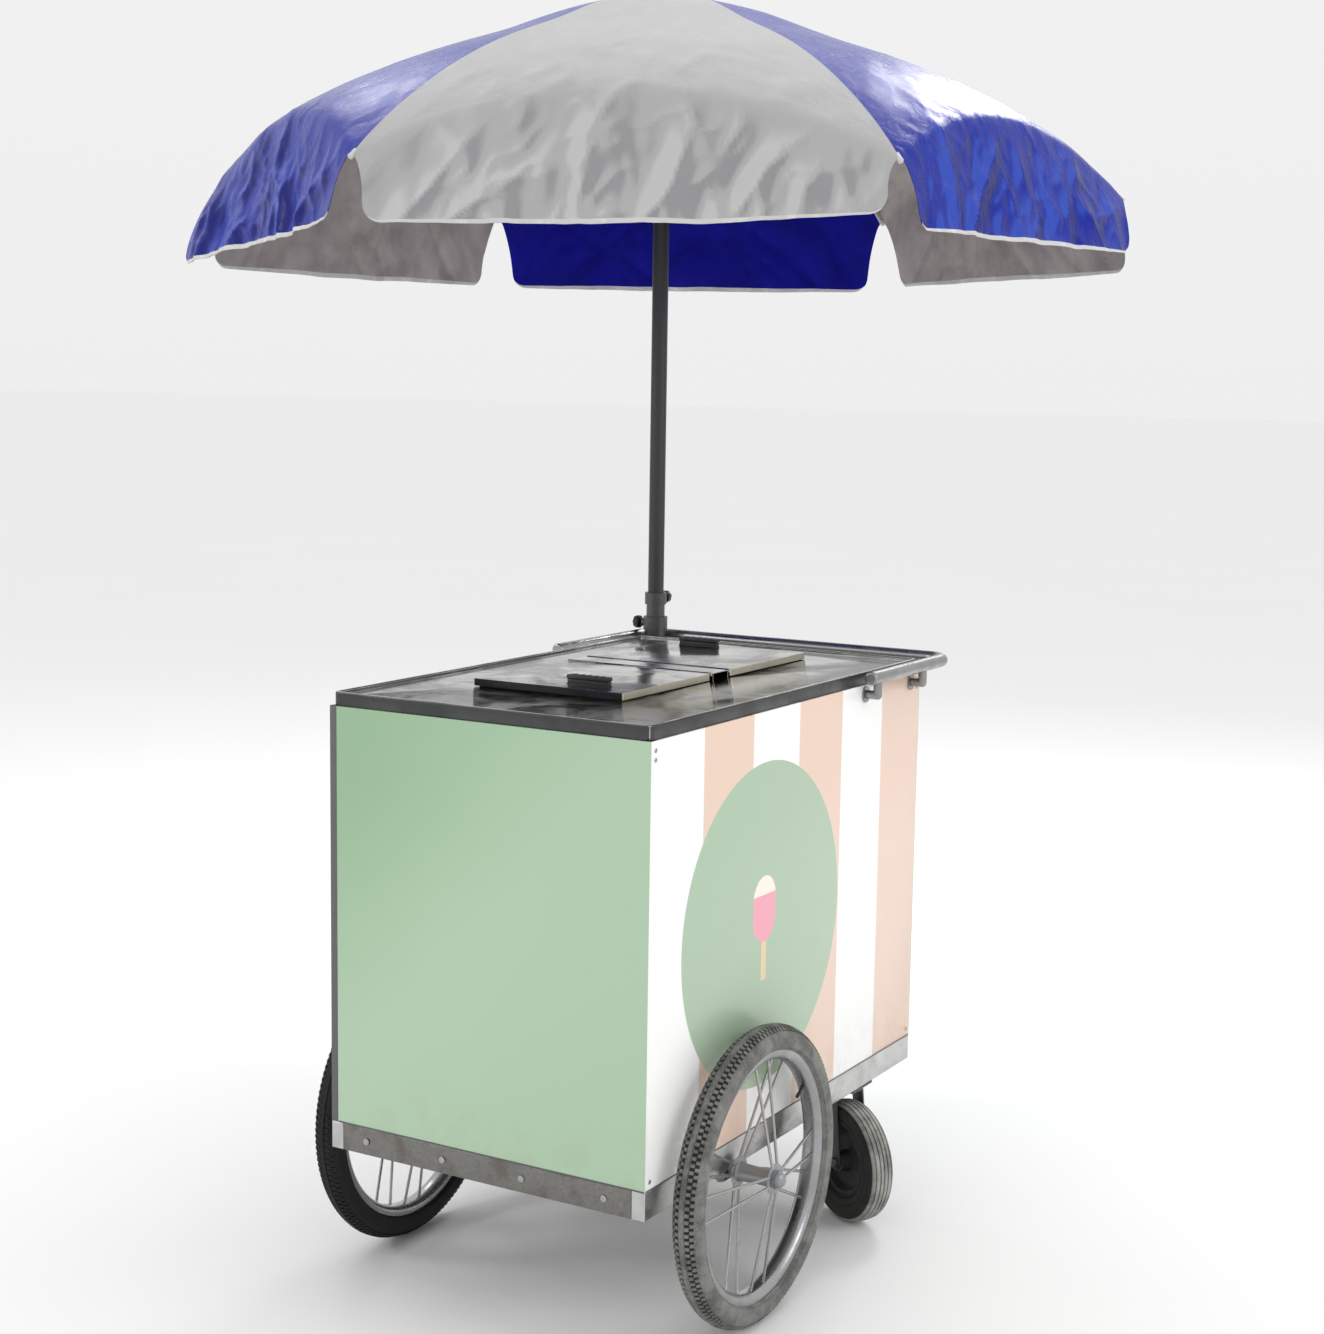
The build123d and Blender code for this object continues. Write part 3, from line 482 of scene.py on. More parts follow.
@dataclass(frozen=True)
class CoatedCloth(Finish):
    """The outside of the cover: a glossy coat over a fine weave, creased from folding, with painted light and
    shade across the creases.
    """

    colour: Colour
    # worn colours the painted highlight on crease sides and the rubbed patches; shade colours the painted shade
    # on crease sides.
    worn: Colour
    shade: Colour
    roughness: float = 0.24
    coat: float = 0.5
    ior: float = 1.45

    def paint(self, shader: Shader) -> bpy.types.Material:
        """Lay out the nodes."""
        cloth = shader.uv()
        u, v, _ = shader.axes(cloth)
        weave = (u * 4400.0).apply("SINE") * (v * 4400.0).apply("SINE")
        # The fold attribute holds the painted light and shade of the creases.
        fold = shader.node("ShaderNodeAttribute", {"attribute_name": "fold"}, output="Fac")
        fine = shader.noise(shader.scaled(cloth, (1.0, 0.7, 1.0)), 26.0, 5.0, 0.62, 0.8)
        low = v.fade(0.45, 1.0)
        normal = shader.node("ShaderNodeBump", sockets={
            "Strength": 0.25, "Distance": 0.00010, "Height": weave,
            "Normal": shader.bump(fine * (0.30 + low * 0.70), 0.0032, 0.9)})
        # Painted light and shade: crease sides sloping towards one fixed diagonal turn towards the worn colour
        # as a painted highlight, mixed with random rubbed patches; those sloping away turn towards the shade
        # colour as painted shade.
        highlight_and_rub = fold.fade(0.52, 0.90) * 0.8 + fine.fade(0.56, 0.74) * 0.2
        painted_fold_shade = fold.fade(0.48, 0.12) * 0.75
        rough = self.roughness + fine.fade(0.35, 0.75) * 0.12
        tone = shader.mix(painted_fold_shade, shader.mix(highlight_and_rub, self.colour, self.worn), self.shade)
        return shader.surface(base_color=tone, roughness=rough, specular_ior_level=0.35, ior=self.ior,
                              coat_weight=self.coat, coat_roughness=0.16, normal=normal)


@dataclass(frozen=True)
class Lining(Finish):
    """The bare inside of the cover's cloth, with its weave."""

    colour: Colour
    shade: Colour

    def paint(self, shader: Shader) -> bpy.types.Material:
        """Lay out the nodes."""
        cloth = shader.uv()
        u, v, _ = shader.axes(cloth)
        weave = (u * 3200.0).apply("SINE") * (v * 3200.0).apply("SINE")
        stain = shader.noise(cloth, 12.0, 5.0, 0.6)
        colour = shader.mix(stain.fade(0.32, 0.70) * 0.7 + weave * 0.06, self.colour, self.shade)
        fine = shader.noise(cloth, 34.0, 5.0, 0.62, 1.2)
        return shader.surface(base_color=colour, roughness=0.72 + stain * 0.15, specular_ior_level=0.2,
                              normal=shader.bump(fine * 0.93 + weave * 0.07, 0.0030, 0.8))


# The green film's second colour is the lit end of its painted sheen.
GREEN = Enamel("green_film", (0.280, 0.448, 0.271), (0.428, 0.588, 0.418))
STRIPED = StripedEnamel("striped_film", (0.93, 0.93, 0.92), (0.93, 0.93, 0.92))
DECK_STEEL = SheetSteel("polished_sheet", (0.45, 0.45, 0.44), 0.11, Grain.ALONG_Y, 0.14, 0.90)
# A near-black copy of the deck steel for the deck's upright lip: painted shade.
LIP_SHADE_STEEL = SheetSteel("lip_sheet", (0.085, 0.086, 0.087), 0.24, Grain.ALONG_X)
LID_STEEL = SheetSteel("lid_sheet", (0.50, 0.495, 0.48), 0.12, Grain.ALONG_X, 0.16, 0.75)
# A near-black copy of the lid steel for the front lid's front fold: painted shade.
LID_FRONT_SHADE = SheetSteel("lid_front_fold", (0.030, 0.030, 0.030), 0.30, Grain.ALONG_X)
# A pale yellowish copy of the lid steel for right-facing folds: painted highlight.
LID_SIDE_HIGHLIGHT = SheetSteel("lid_side_fold", (0.60, 0.57, 0.46), 0.30, Grain.ALONG_Y)
TUB_STEEL = SheetSteel("tub_sheet", (0.55, 0.55, 0.54), 0.24, Grain.ALONG_Z)
HANDLE_STEEL = SheetSteel("handle_tube", (0.36, 0.36, 0.36), 0.20, Grain.ALONG_Y)
RIM_STEEL = SheetSteel("rim_hoop_steel", (0.40, 0.405, 0.41), 0.20, Grain.ALONG_X)
RAIL_STEEL = Galvanised("rail_zinc", (0.19, 0.187, 0.178), (0.13, 0.115, 0.095))
SIDE_RAIL = SheetSteel("bright_rail", (0.60, 0.60, 0.59), 0.28, Grain.ALONG_Y)
TRIM = Painted("corner_trim_paint", (0.10, 0.10, 0.10), (0.26, 0.26, 0.26), 0.50, 0.0)
ZINC = Plated("bright_zinc", (0.40, 0.40, 0.39), 0.22)
ALLOY = Painted("cast_alloy", (0.30, 0.31, 0.32), (0.50, 0.50, 0.50), 0.36, 0.9)
POLE = Painted("pole_paint", (0.050, 0.051, 0.054), (0.20, 0.20, 0.20), 0.30, 0.85)
SLEEVE = Painted("sleeve_paint", (0.085, 0.087, 0.09), (0.25, 0.25, 0.25), 0.34, 0.85)
BLACK = Moulded("black_moulding", (0.010, 0.010, 0.011))
SEAL = Moulded("seal_rubber_grey", (0.05, 0.05, 0.05), 0.7)
FOAM = Moulded("foam_board", (0.70, 0.62, 0.38), 0.85, 0.0006, 300.0)
WHITE_PLASTIC = Moulded("white_moulding", (0.56, 0.56, 0.54), 0.36)
RIB_PAINT = Painted("rib_enamel", (0.50, 0.50, 0.48), (0.30, 0.29, 0.27), 0.40, 0.1)
TYRE = Rubber("tyre_rubber_dusty", (0.085, 0.084, 0.080), (0.235, 0.235, 0.222), 0.85)
# A near-black copy of the tyre rubber for the left wheel: painted shade.
TYRE_SHADED = Rubber("tyre_rubber_clean", (0.004, 0.004, 0.004), (0.016, 0.015, 0.015), 0.5)
# Near-black rubber for the gaps between the tread blocks: painted shade in the grooves.
GROOVE_SHADE = Rubber("tread_groove", (0.010, 0.010, 0.010), (0.045, 0.042, 0.038), 0.4)
CASTER_TYRE = Rubber("caster_rubber_dusty", (0.16, 0.16, 0.15), (0.38, 0.377, 0.35), 0.85)
CASTER_SIDE = Rubber("caster_sidewall", (0.010, 0.010, 0.010), (0.050, 0.047, 0.042), 0.5)
CASTER_STEEL = Painted("caster_zinc", (0.085, 0.085, 0.085), (0.30, 0.30, 0.29), 0.36, 0.8)
CASTER_CORE = Moulded("caster_moulding", (0.012, 0.012, 0.013), 0.5)
# Each cloth's second colour is partly a painted highlight on crease sides and partly rubbed patches; its third
# is painted shade on crease sides.
WHITE_CLOTH = CoatedCloth("white_vinyl_coat", (0.40, 0.40, 0.405), (0.53, 0.53, 0.535), (0.25, 0.25, 0.26),
                          roughness=0.50, coat=0.04)
BLUE_CLOTH = CoatedCloth("blue_vinyl_coat", (0.004, 0.016, 0.29), (0.035, 0.080, 0.47), (0.002, 0.004, 0.11),
                         roughness=0.24, coat=0.08, ior=1.22)
WHITE_LINING = Lining("white_lining", (0.43, 0.385, 0.375), (0.27, 0.235, 0.225))
BLUE_LINING = Lining("blue_lining", (0.002, 0.002, 0.30), (0.001, 0.001, 0.18))
HEM_CLOTH = Moulded("hem_binding", (0.58, 0.58, 0.57), 0.6, 0.0003, 1200.0)
MADE: Dict[str, bpy.types.Material] = {}


def material(finish: Finish) -> bpy.types.Material:
    """The material of a finish, built once.

    Args:
        finish: the finish.

    Returns:
        Its material.
    """
    if finish.name not in MADE:
        MADE[finish.name] = finish.make()
    return MADE[finish.name]


# ---- the modelling bench -------------------------------------------------------------------------
COPY_WELD, TURN_WELD = 0.01 * MM, 0.002 * MM
COPY_FLAT = math.radians(0.6)


class Work:
    """One mesh on the bench, shaped with operators and then fitted to a body."""

    def __init__(self, obj: bpy.types.Object) -> None:
        """Take an object onto the bench."""
        self.obj = obj

    @staticmethod
    def clear() -> None:
        """Leave edit mode and deselect everything."""
        if bpy.context.mode != "OBJECT":
            bpy.ops.object.mode_set(mode="OBJECT")
        bpy.ops.object.select_all(action="DESELECT")

    @classmethod
    def _added(cls) -> "Work":
        """Settle the primitive that was just added.

        Returns:
            The piece, with nothing left in its transform.
        """
        cls.settle()
        return cls(bpy.context.object)

    @staticmethod
    def settle() -> None:
        """Put the selected piece's transform into its mesh."""
        bpy.ops.object.transform_apply(location=True, rotation=True, scale=True)

    def hold(self) -> None:
        """Make this the only selected piece, and the active one."""
        self.clear()
        self.obj.select_set(True)
        bpy.context.view_layer.objects.active = self.obj

    @classmethod
    def box(cls, low: Spot, high: Spot) -> "Work":
        """A block between two corners.

        Args:
            low: the lowest corner.
            high: the highest corner.

        Returns:
            The block.
        """
        cls.clear()
        low, high = Vector(low), Vector(high)
        bpy.ops.mesh.primitive_cube_add(size=1.0, location=(low + high) / 2, scale=high - low)
        return cls._added()

    @classmethod
    def rod(cls, start: Spot, end: Spot, radius: float, sides: int = 32) -> "Work":
        """A round bar between two points.

        Args:
            start: one end.
            end: the other end.
            radius: its radius in metres.
            sides: how many flats stand for the round.

        Returns:
            The bar.
        """
        cls.clear()
        start, end = Vector(start), Vector(end)
        along = end - start
        bpy.ops.mesh.primitive_cylinder_add(vertices=sides, radius=radius, depth=along.length,
                                            location=(start + end) / 2,
                                            rotation=along.to_track_quat("Z", "Y").to_euler())
        return cls._added()

    @classmethod
    def turned(cls, outline: Sequence[Point], place: Matrix, steps: int = 96) -> "Work":
        """Spin an outline about the X axis and put it in place.

        Args:
            outline: (along the axis, radius) points in metres; a ring's last point is its first.
            place: where the axis goes.
            steps: how many steps the spin takes.

        Returns:
            The turned piece.
        """
        cls.clear()
        bpy.ops.mesh.primitive_plane_add(size=MM)
        work = cls(bpy.context.object)
        bpy.ops.object.mode_set(mode="EDIT")
        bpy.ops.mesh.select_mode(type="VERT")
        bpy.ops.mesh.select_all(action="SELECT")
        bpy.ops.mesh.merge(type="CENTER")
        bpy.ops.transform.translate(value=Vector((outline[0][0], 0, outline[0][1])))
        for before, after in zip(outline, outline[1:]):
            step = Vector((after[0] - before[0], 0, after[1] - before[1]))
            bpy.ops.mesh.extrude_region_move(TRANSFORM_OT_translate={"value": step})
        bpy.ops.mesh.select_all(action="SELECT")
        bpy.ops.mesh.spin(steps=steps, angle=2 * math.pi, center=(0, 0, 0), axis=(1, 0, 0))
        work.weld()
        bpy.ops.object.mode_set(mode="OBJECT")
        work.obj.matrix_world = place
        cls.settle()
        return work

    @classmethod
    def copy_of(cls, node: str) -> "Work":
        """A welded copy of a CAD node, with its flat faces joined up.

        Args:
            node: the node's name.

        Returns:
            The copy.
        """
        mesh = frame["nodes"][node].data.copy()
        mesh.materials.clear()
        work = cls(bpy.data.objects.new(node + "_copy", mesh))
        bpy.context.scene.collection.objects.link(work.obj)
        work.edit()
        bpy.ops.mesh.select_all(action="SELECT")
        bpy.ops.mesh.remove_doubles(threshold=COPY_WELD)
        bpy.ops.mesh.dissolve_limited(angle_limit=COPY_FLAT)
        bpy.ops.object.mode_set(mode="OBJECT")
        return work

    @classmethod
    def joined(cls, works: Sequence["Work"]) -> "Work":
        """Several workpieces as one.

        Args:
            works: the pieces, which are used up.

        Returns:
            The joined piece.
        """
        cls.clear()
        for work in works:
            work.obj.select_set(True)
        bpy.context.view_layer.objects.active = works[0].obj
        bpy.ops.object.join()
        return works[0]

    def scrap(self) -> None:
        """Take the piece off the bench for good."""
        self.clear()
        bpy.data.objects.remove(self.obj)

    def twin(self, place: Matrix) -> "Work":
        """A copy with a mesh of its own, moved by a matrix.

        Args:
            place: the matrix.

        Returns:
            The copy.
        """
        other = Work(bpy.data.objects.new(self.obj.name + "_twin", self.obj.data.copy()))
        bpy.context.scene.collection.objects.link(other.obj)
        other.hold()
        other.obj.matrix_world = place
        self.settle()
        return other

    def edit(self) -> None:
        """Go into edit mode on this piece alone."""
        self.hold()
        bpy.ops.object.mode_set(mode="EDIT")

    def weld(self) -> None:
        """Merge doubles and point all faces outwards, in edit mode."""
        bpy.ops.mesh.select_all(action="SELECT")
        bpy.ops.mesh.remove_doubles(threshold=TURN_WELD)
        bpy.ops.mesh.select_all(action="SELECT")
        bpy.ops.mesh.normals_make_consistent(inside=False)

    def pick(self, test: FaceTest) -> "Work":
        """Select the faces whose centre and normal pass a test.

        Args:
            test: takes a face's centre and normal.

        Returns:
            This piece, in edit mode.
        """
        self.edit()
        bpy.ops.mesh.select_mode(type="FACE")
        bpy.ops.mesh.select_all(action="DESELECT")
        mesh = bmesh.from_edit_mesh(self.obj.data)
        for face in mesh.faces:
            if test(face.calc_center_median(), face.normal):
                face.select_set(True)
        bmesh.update_edit_mesh(self.obj.data)
        return self

    def push(self, height: float) -> "Work":
        """Extrude the picked faces along their normals."""
        bpy.ops.mesh.extrude_region_shrink_fatten(TRANSFORM_OT_shrink_fatten={"value": height})
        return self

    def accent(self, finish: Finish, test: FaceTest) -> "Work":
        """Give the faces that pass a test a second finish.

        Args:
            finish: the second finish.
            test: takes a face's centre and normal.

        Returns:
            This piece.
        """
        self.obj.data.materials.append(material(finish))
        self.pick(test)
        self.obj.active_material_index = len(self.obj.data.materials) - 1
        bpy.ops.object.material_slot_assign()
        self.clear()
        return self

    def soften(self, width: float, segments: int = 2, angle: float = 35.0) -> "Work":
        """Round the edges sharper than an angle.

        Args:
            width: the bevel's width in metres.
            segments: how many faces it gets.
            angle: the angle in degrees.

        Returns:
            This piece.
        """
        self.hold()
        bevel = self.obj.modifiers.new("bevel", "BEVEL")
        bevel.width = width
        bevel.segments = segments
        bevel.limit_method = "ANGLE"
        bevel.angle_limit = math.radians(angle)
        bpy.ops.object.modifier_apply(modifier=bevel.name)
        return self

    def smooth(self, angle: float = 32.0) -> "Work":
        """Shade smooth up to an angle."""
        self.hold()
        bpy.ops.object.shade_smooth_by_angle(angle=math.radians(angle))
        return self

    def fit(self, name: str, body: str, slot: str, finish: Finish, *nodes: str) -> "Work":
        """Name, dress and place the piece.

        Args:
            name: the piece's name.
            body: the body that it rides on.
            slot: the record's material slot; not used.
            finish: its finish.
            nodes: the CAD nodes that it stands for.

        Returns:
            The piece.
        """
        self.clear()
        self.obj.name = name
        self.obj.data.name = name
        self.obj.data.materials.clear()
        self.obj.data.materials.append(material(finish))
        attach(self.obj, body)
        if nodes:
            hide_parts(*nodes)
        LOG.info("%s on %s, %d faces", name, body, len(self.obj.data.polygons))
        return self


def dress(finish: Finish, *nodes: str) -> None:
    """Give CAD nodes a finish.

    Args:
        finish: the finish.
        nodes: the nodes' names.
    """
    for node in nodes:
        obj = frame["nodes"][node]
        if not obj.material_slots:
            obj.data.materials.append(material(finish))
        for held in obj.material_slots:
            held.material = material(finish)
        LOG.info("%s dressed in %s", node, finish.name)


def middle(node: str) -> Vector:
    """The centre of a node's box."""
    low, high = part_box(node)
    return (low + high) / 2


def across(direction: Vector, at: Vector) -> Matrix:
    """A place whose X axis points in a direction."""
    turn = direction.to_track_quat("X", "Z").to_matrix().to_4x4()
    return Matrix.Translation(at) @ turn


# ---- the studio ----------------------------------------------------------------------------------
@dataclass(frozen=True)
class Softbox:
    """A square soft light that points at a target."""

    name: str
    at: Place
    size: float
    power: float
    target: Place = (0.0, 0.0, 1.0)

    def hang(self) -> None:
        """Add the light to the scene."""
        data = bpy.data.lights.new(self.name, "AREA")
        data.shape = "SQUARE"
        data.size = self.size
        data.energy = self.power
        light = bpy.data.objects.new(self.name, data)
        aim = Vector(self.target) - Vector(self.at)
        light.matrix_world = Matrix.Translation(self.at) @ aim.to_track_quat("-Z", "Y").to_matrix().to_4x4()
        bpy.context.scene.collection.objects.link(light)


SOFTBOXES = (
    Softbox("overhead", (-1.6, 2.4, 5.2), 2.6, 30.0),
    Softbox("front_left", (-3.9, -3.6, 3.2), 1.0, 45.0),
    Softbox("right", (5.2, 0.6, 3.4), 2.2, 60.0),
    Softbox("back", (-0.24, 4.66, 4.5), 1.2, 80.0, (0.46, 0.36, 2.06)),
    Softbox("back_left", (-3.7, 2.4, 4.8), 0.6, 12.0, (-0.5, 0.1, 2.1)),
)


@dataclass
class Studio:
    """The floor, the light and the camera."""

    eye: Place = (2.0295, -3.3814, 1.6048)
    azimuth: float = 30.53
    pitch: float = 7.73
    roll: float = 0.876
    lens: float = 59.44
    film: float = 36.0
    floor_side: float = 160.0
    horizon: float = 0.86
    zenith: float = 1.0

    def camera(self) -> None:
        """Stand the camera where the cart is seen from its front right corner."""
        a, e, r = (math.radians(v) for v in (self.azimuth, self.pitch, self.roll))
        back = Vector((math.sin(a) * math.cos(e), -math.cos(a) * math.cos(e), math.sin(e)))
        level = Vector((math.cos(a), math.sin(a), 0))
        up = back.cross(level)
        right = math.cos(r) * level + math.sin(r) * up
        up = back.cross(right)
        data = bpy.data.cameras.new("camera")
        data.sensor_fit = "VERTICAL"
        data.sensor_height = self.film
        data.sensor_width = self.film
        data.lens = self.lens
        data.clip_end = 200.0
        camera = bpy.data.objects.new("camera", data)
        camera.matrix_world = Matrix.Translation(self.eye) @ Matrix((right, up, back)).transposed().to_4x4()
        bpy.context.scene.collection.objects.link(camera)
        bpy.context.scene.camera = camera

    def floor(self) -> None:
        """Lay the floor."""
        Work.clear()
        bpy.ops.mesh.primitive_plane_add(size=self.floor_side)
        floor = bpy.context.object
        floor.name = "floor"
        shader = Shader("floor_paint")
        tone = shader.mix(shader.noise(shader.place(), 0.6, 3.0), (0.86, 0.86, 0.86), (0.88, 0.88, 0.88))
        floor.data.materials.append(shader.surface(base_color=tone, roughness=0.9))

    def sky(self) -> None:
        """Put an even sky round the scene, a little brighter overhead."""
        world = bpy.data.worlds.new("sky")
        world.use_nodes = True
        tree = world.node_tree
        direction = tree.nodes.new("ShaderNodeTexCoord")
        parts = tree.nodes.new("ShaderNodeSeparateXYZ")
        ramp = tree.nodes.new("ShaderNodeValToRGB")
        levels = ((0.0, self.horizon), (1.0, self.zenith))
        for element, (height, level) in zip(ramp.color_ramp.elements, levels):
            element.position = height
            element.color = (level, level, level, 1.0)
        tree.links.new(direction.outputs["Generated"], parts.inputs[0])
        tree.links.new(parts.outputs["Z"], ramp.inputs[0])
        tree.links.new(ramp.outputs[0], tree.nodes["Background"].inputs["Color"])
        bpy.context.scene.world = world

    def build(self) -> None:
        """Make the camera, the floor, the sky and the lights."""
        self.camera()
        self.floor()
        self.sky()
        for light in SOFTBOXES:
            light.hang()
        bpy.context.scene.view_settings.view_transform = "Standard"


# ---- chassis, body, deck and lids ----------------------------------------------------------------
@dataclass
class Chassis:
    """The tube frame, its clamps and its fastenings."""

    tube: float = 25.0 * MM
    radius: float = 2.0 * MM
    rivet: float = 6.0 * MM
    rivet_height: float = 2.6 * MM
    rivets_at: Tuple[float, ...] = (-0.24, -0.08, 0.08, 0.24)

    def rails(self) -> None:
        """Two long rails and four cross members, welded at their ends."""
        low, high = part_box("base_frame")
        width = self.tube
        works = []
        for sign in (-1, 1):
            x0, x1 = sorted((sign * (high.x - width), sign * high.x))
            works.append(Work.box((x0, low.y, low.z), (x1, high.y, high.z)).soften(self.radius, 3))
        Work.joined(works).smooth().fit("side_rails", "cart", "galvanised_steel", SIDE_RAIL)
        works = []
        inner = high.x - width
        axle_y, caster_y = middle("axle").y, middle("left_caster_plate").y
        for y in (low.y + width / 2, axle_y, caster_y, high.y - width / 2):
            member = Work.box((-inner, y - width / 2, low.z), (inner, y + width / 2, high.z))
            works.append(member.soften(self.radius, 3))
        Work.joined(works).smooth().fit("cross_members", "cart", "galvanised_steel", RAIL_STEEL, "base_frame")

    def fastenings(self) -> None:
        """Dress the clamps and set round heads along the front member."""
        dress(RAIL_STEEL, "axle_clamps")
        low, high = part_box("base_frame")
        works = []
        for x in self.rivets_at:
            at = Vector((x, low.y, (low.z + high.z) / 2))
            works.append(Work.rod(at, at - Y * self.rivet_height, self.rivet, 24).soften(1.2 * MM, 3, 50))
        Work.joined(works).smooth(40).fit("front_member_rivets", "cart", "galvanised_steel", ZINC)


@dataclass
class Cabinet:
    """Panels, corner trims and their screws."""

    edge: float = 0.7 * MM
    screw_in: float = 15 * MM
    drip: float = 1.2 * MM
    drip_drop: float = 2.5 * MM

    def build(self) -> None:
        """Round the sheet edges and dress the panels."""
        for node, slot, finish in (("front_panel", "green_paint", GREEN), ("rear_panel", "green_paint", GREEN),
                                   ("left_side_panel", "striped_paint", STRIPED),
                                   ("right_side_panel", "striped_paint", STRIPED)):
            Work.copy_of(node).soften(self.edge, 2).smooth().fit(node + "_sheet", "cart", slot, finish, node)
        Work.copy_of("corner_posts").soften(1.2 * MM, 3).smooth().fit(
            "corner_trims", "cart", "grey_trim", TRIM, "corner_posts")
        dress(RAIL_STEEL, "floor_pan")
        dress(FOAM, "insulation")
        self.screws()
        self.drip_and_shadow_line()

    def screws(self) -> None:
        """Slotted round-headed screws, two up and one down at each corner."""
        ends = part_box("panel_screws")[1].y - 4 * MM
        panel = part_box("right_side_panel")[1]
        rail_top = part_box("base_frame")[1].z
        heights = (panel.z - self.screw_in, panel.z - 2 * self.screw_in, rail_top + self.screw_in)
        first = self.screw()
        works = []
        for side in (-1, 1):
            turn = Matrix.Rotation(0 if side > 0 else math.pi, 4, "Z")
            for end in (-1, 1):
                for z in heights:
                    works.append(first.twin(Matrix.Translation((side * panel.x, end * ends, z)) @ turn))
        first.scrap()
        Work.joined(works).smooth(40).fit("panel_screw_heads", "cart", "bright_steel", ZINC, "panel_screws")

    def screw(self) -> Work:
        """One round head at the origin, facing +X, with a slot.

        Returns:
            The head.
        """
        head = Work.turned([(0, 4.0 * MM), (0.5 * MM, 4.0 * MM), (1.1 * MM, 3.4 * MM), (1.5 * MM, 2.2 * MM),
                            (1.55 * MM, 0.9 * MM), (1.55 * MM, 0.0)], Matrix.Identity(4), 24)
        head.pick(lambda c, n: c.x > 1.5 * MM and abs(c.z) < 0.9 * MM and abs(c.y) < 2 * MM)
        head.push(-0.5 * MM)
        return head

    def drip_and_shadow_line(self) -> None:
        """The drip edge under the side and end panels, a thin dark strip that also stands in for a painted
        shadow line.
        """
        works = []
        half = self.drip / 2
        for node in ("front_panel", "right_side_panel", "left_side_panel", "rear_panel"):
            low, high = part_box(node)
            top = low.z + self.drip_drop
            if high.x - low.x > high.y - low.y:
                y = low.y if low.y < 0 else high.y
                edge = Work.box((low.x + self.drip, y - half, low.z), (high.x - self.drip, y + half, top))
            else:
                x = low.x if high.x < 0 else high.x
                edge = Work.box((x - half, low.y + self.drip, low.z), (x + half, high.y - self.drip, top))
            works.append(edge.soften(0.4 * MM, 2))
        # A dark strip along the panels' foot: a drip edge and a painted shadow line.
        Work.joined(works).smooth().fit("panel_drip_edge", "cart", "grey_trim", TRIM)


@dataclass
class Deck:
    """The steel top with its lids and pulls."""

    edge: float = 1.0 * MM
    foot_share: float = 0.30
    lip: float = 7 * MM
    ridges: int = 5

    def build(self) -> None:
        """Build the deck, the strip, both lids and their pulls."""
        _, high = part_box("deck")
        deck = Work.copy_of("deck").soften(self.edge, 2, 40).smooth(30)
        deck.fit("deck_sheet", "cart", "stainless", DECK_STEEL, "deck")
        # Painted shade: the deck's upright lip faces take a near-black copy of its steel.
        deck.accent(LIP_SHADE_STEEL, lambda c, n: abs(n.z) < 0.8 and (
            abs(c.x) > high.x - 3 * MM or abs(c.y) > high.y - 3 * MM))
        strip = Work.copy_of("hinge_strip").smooth(30)
        strip.fit("hinge_strip_sheet", "cart", "stainless", LID_STEEL, "hinge_strip")
        # Painted highlight: the strip's right-facing faces take a pale yellowish copy of the lid steel.
        strip.accent(LID_SIDE_HIGHLIGHT, lambda c, n: n.x > 0.5)
        dress(TUB_STEEL, "front_tub", "rear_tub")
        dress(SEAL, "lid_seals")
        for end in ("front", "rear"):
            self.lid(end)
            self.pull(end)

    def lid(self, end: str) -> None:
        """One lid, with rounded edges and folded sides; the front lid's front fold is painted near-black as
        shade, and each lid's right-facing fold is a painted pale yellowish highlight.

        Args:
            end: front or rear.
        """
        node = end + "_lid"
        work = Work.copy_of(node).soften(1.1 * MM, 3, 50)
        work.smooth(30).fit(node + "_pan", end + "_lid_body", "stainless", LID_STEEL, node)
        # Painted shade: the front lid's front-facing fold is near-black.
        if end == "front":
            work.accent(LID_FRONT_SHADE, lambda c, n: n.y < -0.7)
        # Painted highlight: right-facing folds take a pale yellowish copy of the lid steel.
        work.accent(LID_SIDE_HIGHLIGHT, lambda c, n: n.x > 0.5)

    def pull(self, end: str) -> None:
        """One black pull: a foot under an overhanging lip with finger grooves.

        Args:
            end: front or rear.
        """
        node = end + "_lid_pull"
        low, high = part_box(node)
        y = (low.y + high.y) / 2
        foot = (high.y - low.y) * self.foot_share
        under = high.z - self.lip
        wide = foot * 1.5
        works = [
            Work.box((low.x, y - foot, low.z), (high.x, y + foot, under)).soften(1.5 * MM, 3),
            Work.box((low.x, low.y, under), high).soften(2.2 * MM, 4),
            Work.box((low.x, y - wide, low.z), (high.x, y + wide, low.z + 2 * MM)).soften(0.8 * MM, 2)]
        for i in range(self.ridges):
            x = low.x + (high.x - low.x) * (i + 1) / (self.ridges + 1)
            ridge = Work.rod((x, low.y + 2.5 * MM, high.z), (x, high.y - 2.5 * MM, high.z), 1.1 * MM, 16)
            works.append(ridge.soften(0.4 * MM, 2, 60))
        Work.joined(works).smooth(35).fit(end + "_pull", end + "_lid_body", "black_plastic", BLACK, node)


